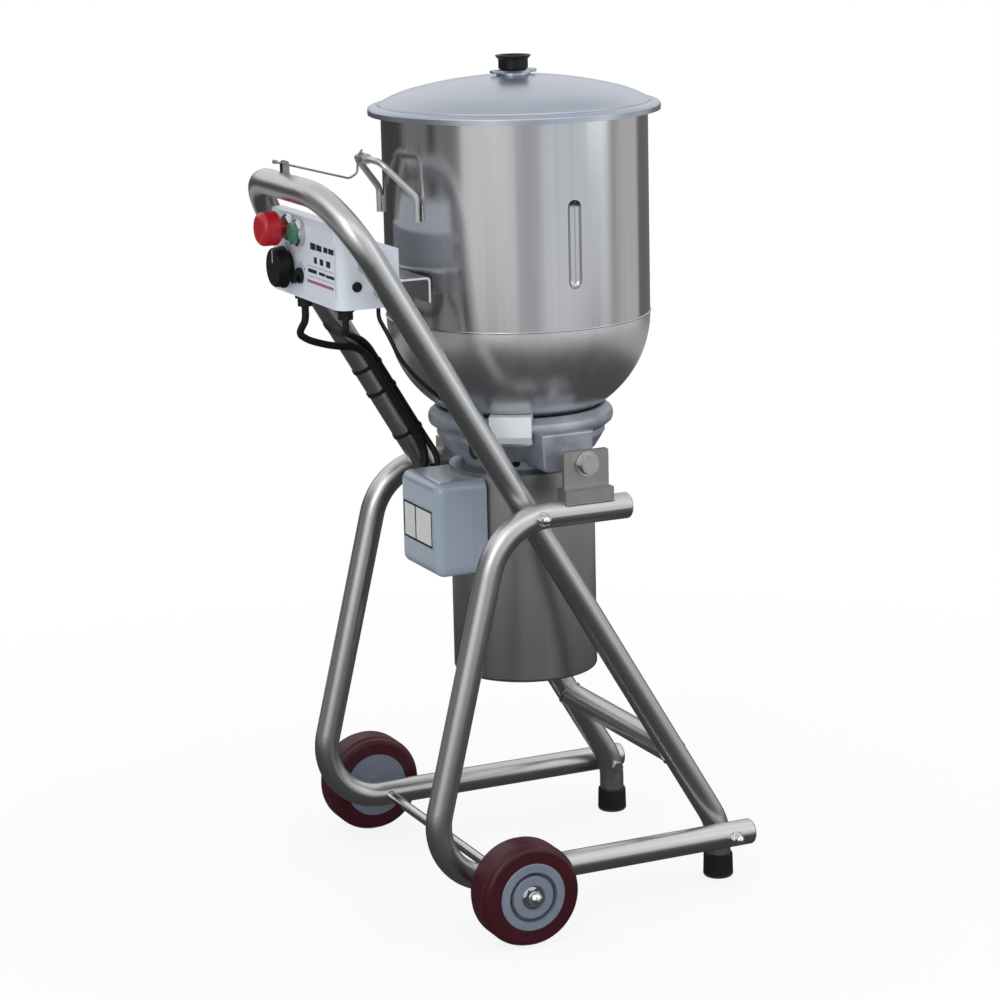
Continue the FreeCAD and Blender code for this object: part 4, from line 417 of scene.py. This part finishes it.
tube_steel = finish_with(
    "satin tube steel", BRUSHED,
    {"Along": (420, 420, 420),
     "Base Roughness": 0.31, "Roughness Spread": 0.06, "Dark": (0.47, 0.47, 0.475),
     "Light": (0.60, 0.60, 0.605), "Cloud Scale": 5.0}, metallic=1.0, bump=0.03, bump_mm=0.03)
cup_steel = finish_with(
    "drawn cup steel", BRUSHED,
    {"Along": (150, 150, 1.6), "Base Roughness": 0.17, "Roughness Spread": 0.12, "Dark": (0.36, 0.36, 0.37),
     "Light": (0.62, 0.62, 0.63), "Cloud Scale": 3.5}, metallic=1.0, bump=0.05, bump_mm=0.05)
# The bowl is the cup's own steel, given a lighter colour: painted light that lifts it out of the dark floor
# cloth it mirrors.
bowl_steel_painted_light = finish_with(
    "spun bowl steel", BRUSHED,
    {"Along": (110, 110, 8), "Base Roughness": 0.33, "Roughness Spread": 0.10, "Dark": (0.56, 0.56, 0.57),
     "Light": (0.80, 0.80, 0.82), "Cloud Scale": 4.0}, metallic=1.0, bump=0.02, bump_mm=0.03)
sleeve_steel = finish_with(
    "brushed sleeve steel", BRUSHED,
    {"Along": (90, 90, 2.0), "Base Roughness": 0.36, "Roughness Spread": 0.12, "Dark": (0.29, 0.288, 0.274),
     "Light": (0.45, 0.446, 0.426), "Cloud Scale": 5.0}, metallic=1.0, bump=0.06, bump_mm=0.05)
sheet_steel = finish_with(
    "bright sheet steel", BRUSHED,
    {"Along": (30, 300, 300), "Base Roughness": 0.25, "Roughness Spread": 0.08, "Dark": (0.55, 0.56, 0.58),
     "Light": (0.78, 0.79, 0.81), "Cloud Scale": 14.0}, metallic=1.0, bump=0.04, bump_mm=0.05)
bright_steel = finish_with(
    "polished small steel", BRUSHED,
    {"Along": (200, 200, 200), "Base Roughness": 0.16, "Roughness Spread": 0.10, "Dark": (0.48, 0.48, 0.48),
     "Light": (0.70, 0.70, 0.70), "Cloud Scale": 20.0}, metallic=1.0)
zinc_steel = finish_with(
    "bright plated steel", BRUSHED,
    {"Along": (400, 400, 400), "Base Roughness": 0.20, "Roughness Spread": 0.14, "Dark": (0.60, 0.60, 0.60),
     "Light": (0.86, 0.86, 0.86), "Cloud Scale": 60.0}, metallic=1.0)
lid_alloy = finish_with(
    "spun lid alloy", BRUSHED,
    {"Along": (5, 5, 160), "Base Roughness": 0.33, "Roughness Spread": 0.18, "Dark": (0.33, 0.365, 0.43),
     "Light": (0.52, 0.56, 0.635), "Cloud Scale": 5.0}, metallic=1.0, bump=0.04, bump_mm=0.04)
cover_steel = finish_with(
    "pale sheet steel", BRUSHED,
    {"Along": (30, 300, 300), "Base Roughness": 0.30, "Roughness Spread": 0.08, "Dark": (0.91, 0.94, 0.98),
     "Light": (0.95, 0.98, 1.0), "Cloud Scale": 14.0}, metallic=0.10, bump=0.04, bump_mm=0.05)
# The fine grain is the casting's own; the deep dark-blue clouds are painted shade, scattered at random.
cast_alloy = finish_with(
    "sand cast alloy", GRAIN,
    {"Grain Scale": 420.0, "Cloud Scale": 22.0, "Base Roughness": 0.50, "Roughness Spread": 0.25,
     "Dark": (0.13, 0.15, 0.19), "Light": (0.62, 0.655, 0.72)}, metallic=0.85, bump=0.45, bump_mm=0.5)
core_steel = finish_with(
    "stacked core steel", BRUSHED,
    {"Along": (4, 4, 900), "Base Roughness": 0.45, "Roughness Spread": 0.2, "Dark": (0.10, 0.10, 0.11),
     "Light": (0.24, 0.24, 0.25), "Cloud Scale": 8.0}, metallic=0.8)
enamel = finish_with(
    "white enamel", GRAIN,
    {"Grain Scale": 260.0, "Cloud Scale": 5.0, "Base Roughness": 0.30, "Roughness Spread": 0.10,
     "Dark": (0.69, 0.74, 0.81), "Light": (0.80, 0.845, 0.90)}, bump=0.06, bump_mm=0.15)
box_plastic = finish_with(
    "grey moulded plastic", GRAIN,
    {"Grain Scale": 700.0, "Cloud Scale": 8.0, "Base Roughness": 0.26, "Roughness Spread": 0.10,
     "Dark": (0.28, 0.345, 0.42), "Light": (0.38, 0.445, 0.52)}, bump=0.06, bump_mm=0.1, Coat_Weight=0.6,
    Coat_Roughness=0.08)
black_plastic = finish_with(
    "black moulded plastic", GRAIN,
    {"Grain Scale": 800.0, "Cloud Scale": 30.0, "Base Roughness": 0.42, "Roughness Spread": 0.14,
     "Dark": (0.003, 0.003, 0.003), "Light": (0.009, 0.009, 0.010)}, bump=0.1, bump_mm=0.1,
    Specular_IOR_Level=0.25)
black_rubber = finish_with(
    "black rubber", GRAIN,
    {"Grain Scale": 600.0, "Cloud Scale": 25.0, "Base Roughness": 0.58, "Roughness Spread": 0.2,
     "Dark": (0.005, 0.005, 0.005), "Light": (0.016, 0.016, 0.016)}, bump=0.2, bump_mm=0.12,
    Specular_IOR_Level=0.3)
tyre_wine = finish_with(
    "wine red tyre", GRAIN,
    {"Grain Scale": 500.0, "Cloud Scale": 20.0, "Base Roughness": 0.38, "Roughness Spread": 0.16,
     "Dark": (0.036, 0.003, 0.008), "Light": (0.070, 0.006, 0.015)}, bump=0.10, bump_mm=0.12,
    Specular_IOR_Level=0.32)
hub_plastic = finish_with(
    "hub grey plastic", GRAIN,
    {"Grain Scale": 700.0, "Cloud Scale": 25.0, "Base Roughness": 0.36, "Roughness Spread": 0.14,
     "Dark": (0.15, 0.18, 0.23), "Light": (0.22, 0.25, 0.31)}, bump=0.08, bump_mm=0.1)
red_plastic = finish_with(
    "signal red plastic", GRAIN,
    {"Grain Scale": 500.0, "Cloud Scale": 30.0, "Base Roughness": 0.30, "Roughness Spread": 0.10,
     "Dark": (0.40, 0.004, 0.014), "Light": (0.52, 0.007, 0.022)}, bump=0.05, bump_mm=0.1)
dark_steel = finish_with(
    "dull wire steel", BRUSHED,
    {"Along": (200, 200, 200),
     "Base Roughness": 0.28, "Roughness Spread": 0.14, "Dark": (0.16, 0.155, 0.145),
     "Light": (0.34, 0.33, 0.31), "Cloud Scale": 40.0}, metallic=1.0)
green_lens = finish_with(
    "green lens", GRAIN,
    {"Grain Scale": 500.0, "Cloud Scale": 60.0, "Base Roughness": 0.15, "Roughness Spread": 0.10,
     "Dark": (0.010, 0.10, 0.075), "Light": (0.03, 0.24, 0.17)}, Coat_Weight=0.5)
print("finishes made:", len(bpy.data.materials))

# %% Give each piece its finish
FINISH_OF_SLOT = {
    "tube_steel": tube_steel, "bright_steel": bright_steel, "zinc_steel": zinc_steel,
    "sheet_steel": sheet_steel, "cast_alloy": cast_alloy, "lid_alloy": lid_alloy, "core_steel": core_steel,
    "box_enamel": enamel, "grey_plastic": box_plastic, "black_plastic": black_plastic,
    "matte_black": black_rubber, "red_plastic": red_plastic, "green_plastic": green_lens,
    "black_rubber": black_rubber, "wine_tyre": tyre_wine, "hub_grey": hub_plastic,
}
# Pieces whose steel was worked in another way than the rest of their slot. The bowl's steel is lighter than
# the cup's as painted light.
FINISH_OF_PIECE = {
    "cup": cup_steel, "cup_bottom": bowl_steel_painted_light, "motor_sleeve": sleeve_steel,
    "left_pivot_bracket": sleeve_steel, "right_pivot_bracket": sleeve_steel, "interlock_cover": cover_steel,
    "latch_wire": dark_steel, "latch_eye": dark_steel, "tilt_pins": tube_steel, "cup_handle": tube_steel,
}
for entry in frame["record"]["subparts"]:
    piece = nodes[entry["node"]]
    material = FINISH_OF_PIECE.get(entry["node"], FINISH_OF_SLOT[entry["material_slot"]])
    if not piece.data.materials:
        piece.data.materials.append(None)
    for number in range(len(piece.material_slots)):
        piece.material_slots[number].link = "OBJECT"
        piece.material_slots[number].material = material

# %% [markdown]
# ## Weld beads
# The stand is welded, and a weld is a raised bead with a row of small ripples, like coins that lie on each
# other. A bead could be a bump in the steel's material, but it would then have no thickness at the edge of
# a joint, where it is seen from the side. So each bead is a thin tube along the joint's own line, and its
# radius swells a little at each ripple.

# %% A bead along a line
def line_ways(points, closed):
    """The direction of the line at each of its points."""
    count = len(points)
    ways = []
    for i in range(count):
        before = points[(i - 1) % count] if closed or i else points[i]
        after = points[(i + 1) % count] if closed or i < count - 1 else points[i]
        ways.append((after - before).normalized())
    return ways


def tube_mesh(name, points, radii, sides=8, closed=False):
    """A tube through the points, with its own radius at each."""
    mesh = bpy.data.meshes.new(name)
    work = bmesh.new()
    ways = line_ways(points, closed)
    across = ways[0].orthogonal().normalized()
    rings = []
    for point, way, radius in zip(points, ways, radii):
        across = (across - way * across.dot(way)).normalized()
        other = way.cross(across)
        ring = []
        for k in range(sides):
            a = 2 * math.pi * k / sides
            ring.append(work.verts.new(point + (across * math.cos(a) + other * math.sin(a)) * radius))
        rings.append(ring)
    pairs = list(zip(rings, rings[1:])) + ([(rings[-1], rings[0])] if closed else [])
    for one, two in pairs:
        for k in range(sides):
            work.faces.new((one[k], one[(k + 1) % sides], two[(k + 1) % sides], two[k]))
    if not closed:
        work.faces.new(list(reversed(rings[0])))
        work.faces.new(rings[-1])
    for face in work.faces:
        face.smooth = True
    bmesh.ops.recalc_face_normals(work, faces=work.faces)
    work.to_mesh(mesh)
    work.free()
    return plain_object(name, mesh)


def even_steps(corners, step_mm, closed):
    """Points every step_mm along straight runs between the corners."""
    points = []
    pairs = list(zip(corners, corners[1:])) + ([(corners[-1], corners[0])] if closed else [])
    for start, end in pairs:
        count = max(1, round((end - start).length / (step_mm * MM)))
        points += [start.lerp(end, i / count) for i in range(count)]
    return points if closed else points + [corners[-1]]


def weld(name, corners, body, bead_mm=1.6, ripple_mm=2.2, closed=True):
    """A rippled bead along the corners, which rides with one body."""
    points = even_steps(corners, ripple_mm / 3, closed)
    radii = [bead_mm * MM * (1 + 0.22 * (i % 3 == 0) - 0.12 * (i % 3 == 2)) for i in range(len(points))]
    bead = tube_mesh(name, points, radii, closed=closed)
    bead.data.materials.append(weld_steel)
    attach(bead, body)
    return bead


weld_steel = finish_with(
    "weld bead steel", BRUSHED,
    {"Along": (700, 700, 700), "Base Roughness": 0.30, "Roughness Spread": 0.2, "Dark": (0.30, 0.27, 0.24),
     "Light": (0.62, 0.60, 0.58), "Cloud Scale": 120.0}, metallic=1.0)

# %% The stand's welds
ARM_X, TUBE_R, CUP_R = 147.95, 15.875, 162.0
ARM_WAY = Vector((0, -0.51014, 0.86009))
CROSS_Y, CROSS_Z = 131.85, 171.0
FRAME_X = 180.0
SADDLE_EDGE, SADDLE_REACH, SADDLE_Z = 11.6, 31, 514.2
LUG_X, LUG_Y = (-14.9, -5.1), (-299.6, -290.8)
CROSSBAR_Y, CROSSBAR_Z = -295.2, 891


def cross_tube_joint(side):
    """Where the cross tube's end is shaped to fit round the arm."""
    corners = []
    for k in range(48):
        a = 2 * math.pi * k / 48
        over = Vector((0, ARM_WAY.z, -ARM_WAY.y)) * math.cos(a) * TUBE_R + ARM_WAY * math.sin(a) * TUBE_R
        reach = ARM_X - TUBE_R * abs(math.sin(a)) - 0.4
        corners.append(at(side * reach, CROSS_Y + over.y, CROSS_Z + over.z))
    return corners


for side, name in ((-1, "left"), (1, "right")):
    weld(f"{name}_cross_tube_weld", cross_tube_joint(side), "stand", bead_mm=1.7)
    for edge in (-SADDLE_EDGE, SADDLE_EDGE):
        x = side * FRAME_X + edge
        run = [at(x, -SADDLE_REACH, SADDLE_Z), at(x, SADDLE_REACH, SADDLE_Z)]
        place = "in" if edge * side < 0 else "out"
        weld(f"{name}_saddle_weld_{place}", run, "stand", bead_mm=1.9, closed=False)
lug_foot = [(LUG_X[0], LUG_Y[0]), (LUG_X[1], LUG_Y[0]), (LUG_X[1], LUG_Y[1]), (LUG_X[0], LUG_Y[1])]
lug_line = [at(x, y, CROSSBAR_Z + math.sqrt(TUBE_R ** 2 - (y - CROSSBAR_Y) ** 2)) for x, y in lug_foot]
weld("latch_lug_weld", lug_line, "stand", bead_mm=0.9, ripple_mm=1.5)
print("welded the stand")

# %% The cup's welds
SEAM_R, SEAM_Z = CUP_R + 0.1, 717.5
BOW_X, BOW_COLLAR_EDGE = 57, 4.2
BOW_LOW_Z, BOW_HIGH_Z = 846, 866
around = [math.radians(degree) for degree in range(0, 360, 2)]
seam = [at(math.cos(a) * SEAM_R, math.sin(a) * SEAM_R, SEAM_Z) for a in around]
seam_weld = weld("cup_seam_weld", seam, "tilting_unit", bead_mm=0.95, ripple_mm=3.6)
seam_weld.data.materials[0] = bright_steel
for side, name in ((-1, "left"), (1, "right")):
    for edge in (-BOW_COLLAR_EDGE, BOW_COLLAR_EDGE):
        x = side * BOW_X + edge
        y = -math.sqrt(CUP_R ** 2 - x ** 2) - 0.3
        place = "in" if edge * side < 0 else "out"
        weld(f"{name}_bow_weld_{place}", [at(x, y, BOW_LOW_Z), at(x, y, BOW_HIGH_Z)], "tilting_unit",
             bead_mm=1.2, ripple_mm=1.8, closed=False)
print("welded the cup")

# %% [markdown]
# ## The operator's panel
# The panel's print is kept as plain bars and squares, so it reads as a printed panel and says nothing. They
# are thin plates that stand a tenth of a millimetre off the enamel, because a plate keeps its sharp edge
# however close the lens comes.

# %% Printed marks
PANEL_Y = -280.0
FACING = Vector((0, -1, 0))      # the way that the panel and the terminal box's back face


def ink(name, colour):
    return finish_with(
        name, GRAIN,
        {"Grain Scale": 900.0, "Cloud Scale": 40.0, "Base Roughness": 0.45, "Roughness Spread": 0.1,
         "Dark": tuple(c * 0.8 for c in colour), "Light": colour})


black_ink = ink("black print", (0.016, 0.016, 0.02))
rose_ink = ink("rose print", (0.42, 0.13, 0.22))
grey_ink = ink("grey print", (0.30, 0.31, 0.36))
white_ink = ink("white print", (0.80, 0.80, 0.80))


def plates(name, places, material, body, thickness=0.12, corner=0.6):
    """Thin plates in one mesh. Each place is its middle, the two half edges and the way that it faces."""
    work = bmesh.new()
    for middle, half_right, half_up, out in places:
        shape = []
        for right_sign, up_sign in ((-1, -1), (1, -1), (1, 1), (-1, 1)):
            for first in (True, False):
                cut_right = corner * MM if first != (right_sign * up_sign > 0) else 0
                cut_up = corner * MM - cut_right
                along = half_right.normalized() * right_sign * (half_right.length - cut_right)
                upward = half_up.normalized() * up_sign * (half_up.length - cut_up)
                shape.append(middle + along + upward)
        low = [work.verts.new(p) for p in shape]
        high = [work.verts.new(p + out * thickness * MM) for p in shape]
        work.faces.new(high)
        work.faces.new(list(reversed(low)))
        for k in range(len(shape)):
            nxt = (k + 1) % len(shape)
            work.faces.new((low[k], low[nxt], high[nxt], high[k]))
    bmesh.ops.recalc_face_normals(work, faces=work.faces)
    mesh = bpy.data.meshes.new(name)
    work.to_mesh(mesh)
    work.free()
    piece = plain_object(name, mesh)
    piece.data.materials.append(material)
    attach(piece, body)
    return piece


def facing_plate(left, right_edge, low, high, y):
    """An upright plate between two edges and two heights, in millimetres, that faces the operator."""
    middle = at((left + right_edge) / 2, y, (low + high) / 2)
    half_right = Vector(((right_edge - left) / 2 * MM, 0, 0))
    half_up = Vector((0, 0, (high - low) / 2 * MM))
    return middle, half_right, half_up, FACING


def on_panel(left, right_edge, low, high):
    return facing_plate(left, right_edge, low, high, PANEL_Y - 0.02)


def dial_mark(centre_x, centre_z, angle, radius, half_wide, half_long):
    """A short mark that points at a knob's centre. The angle is in degrees from straight up, clockwise."""
    a = math.radians(angle)
    outward = Vector((math.sin(a), 0, math.cos(a)))
    sideways = Vector((math.cos(a), 0, -math.sin(a)))
    middle = at(centre_x, PANEL_Y - 0.02, centre_z) + outward * radius * MM
    return middle, sideways * half_wide * MM, outward * half_long * MM, FACING


SPEED_X, SPEED_Z = -47, 790.5
SELECTOR_X, SELECTOR_Z = -8, 784.5
# Left edge, right edge, lower edge and upper edge of each printed mark.
BLACK_MARKS = [(25, 42, 820, 828), (44, 61, 820.3, 827.7), (66.5, 80, 821, 827.5), (82, 98.5, 821, 827.5),
               (35.5, 45, 804.5, 812), (54, 65, 804.5, 812), (74, 87, 804.5, 812),
               (15.5, 43.5, 792, 796.5), (50, 70, 792.4, 796), (72.5, 98.5, 792, 795.6)]
plates("panel_marks", [on_panel(*m) for m in BLACK_MARKS], black_ink, "stand")
plates("panel_rose_line", [on_panel(11, 95.5, 779.5, 783)], rose_ink, "stand", corner=0.2)
plates("panel_grey_rules", [on_panel(14, 98.5, 799.6, 800.3), on_panel(14, 98.5, 787.4, 788.0),
                            on_panel(101.2, 101.8, 770, 832)], grey_ink, "stand", corner=0.05)
selector_marks = []
for angle, long in ((-52, 4.4), (-26, 2.6), (0, 4.4), (26, 2.6), (52, 4.4)):
    selector_marks.append(dial_mark(SELECTOR_X, SELECTOR_Z, angle, 12.0 + long / 2, 0.7, long / 2))
plates("selector_scale", selector_marks, black_ink, "stand", corner=0.1)
speed_marks = [dial_mark(SPEED_X, SPEED_Z, angle, 28.2, 0.45, 1.4) for angle in range(-135, 136, 30)]
plates("speed_scale", speed_marks, black_ink, "stand", corner=0.1)
print("printed", len(BLACK_MARKS), "bars and squares on the panel")

# %% The speed knob's pointer line
knob_low, knob_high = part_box("speed_knob")
face_y = knob_low[1] - 0.02 * MM
pointer_middle = Vector((at(SPEED_X, 0, 0).x, face_y, at(0, 0, SPEED_Z + 13.5).z))
pointer = (pointer_middle, Vector((0.9 * MM, 0, 0)), Vector((0, 0, 7.5 * MM)), FACING)
plates("speed_pointer", [pointer], white_ink, "speed_knob", corner=0.3)
print("the knob's face is at y =", round(face_y, 4))

# %% [markdown]
# ## The plate on the terminal box
# A pale plate sits on the terminal box's back, inside a thin black line and divided by one upright line. It
# is blank, and it lies just over the plate on the solid.

# %% Blank framed plate
lid_low, lid_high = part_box("terminal_box_lid")
plate_y = lid_low[1] / MM - CUP_Y / MM
PLATE_LEFT, PLATE_RIGHT, PLATE_LOW, PLATE_HIGH = -46.0, 43.0, 441.0, 490.0
FIELD_EDGE, LINE_EDGE, LINE_WIDE = 0.6, 1.0, 3.0
field = facing_plate(PLATE_LEFT + FIELD_EDGE, PLATE_RIGHT - FIELD_EDGE, PLATE_LOW + FIELD_EDGE,
                     PLATE_HIGH - FIELD_EDGE, plate_y - 0.02)
plates("terminal_plate_field", [field], ink("pale label", (0.72, 0.73, 0.72)), "tilting_unit",
       thickness=0.1)
line_y = plate_y - 0.13
left, right_edge = PLATE_LEFT + LINE_EDGE, PLATE_RIGHT - LINE_EDGE
low, high = PLATE_LOW + LINE_EDGE, PLATE_HIGH - LINE_EDGE
frame_bars = []
for start in (low, high - LINE_WIDE):
    frame_bars.append(facing_plate(left, right_edge, start, start + LINE_WIDE, line_y))
for start in (left, right_edge - LINE_WIDE, PLATE_LEFT + 36):
    frame_bars.append(facing_plate(start, start + LINE_WIDE, low, high, line_y))
plates("terminal_plate_frame", frame_bars, black_ink, "tilting_unit", corner=0.05)
print("plate at y =", round(plate_y, 2), "mm from the cup's axis")

# %% [markdown]
# ## The slack cables
# Three cables leave the arms and hang in short loops before they enter the terminal box and the switch. When
# the cup tips, one end of each loop goes with it. Each is one smooth tube along its route.

# %% Cable loops
# Each loop has the cable's radius and the points that its line is drawn towards.
LOOPS = {
    "motor_cable_loop": (4.5, [
        (-128.43, -84.53, 548.24), (-128.43, -74.32, 531.03), (-120, -80, 499), (-112, -97, 479),
        (-102, -113, 483), (-89, -117, 495), (-74, -117, 495)]),
    "control_cable_loop": (4.0, [
        (-134.55, -77.18, 552.59), (-134.55, -71.57, 543.13), (-119, -59, 516), (-113, -71, 478),
        (-110, -94, 451), (-101, -113, 454), (-88, -117, 466), (-74, -117, 466)]),
    "switch_cable_loop": (2.5, [
        (129.42, -122.6, 600), (129.42, -112.4, 582.8), (118, -110, 566), (99, -113, 566),
        (84, -106, 580), (82.51, -94.49, 595), (89.21, -83.35, 595)]),
}


def smooth_line(name, corners):
    """Points along a smooth line that the corners pull on."""
    curve = bpy.data.curves.new(name, "CURVE")
    curve.dimensions = "3D"
    curve.resolution_u = 10
    spline = curve.splines.new("NURBS")
    spline.points.add(len(corners) - 1)
    for point, corner in zip(spline.points, corners):
        point.co = (*at(*corner), 1)
    spline.order_u = 3
    spline.use_endpoint_u = True
    holder = bpy.data.objects.new(name, curve)
    bpy.context.scene.collection.objects.link(holder)
    bpy.context.view_layer.update()
    sampled = bpy.data.meshes.new_from_object(holder)
    points = [v.co.copy() for v in sampled.vertices]
    bpy.data.objects.remove(holder)
    return points


loops = []
for name, (radius, corners) in LOOPS.items():
    points = smooth_line(name + "_line", corners)
    loop = tube_mesh(name, points, [radius * MM] * len(points), sides=14)
    loop.data.materials.append(black_rubber)
    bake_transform(loop)
    loops.append(loop)
for loop in loops:
    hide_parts("cable_loops")
print("slack loops:", len(loops))
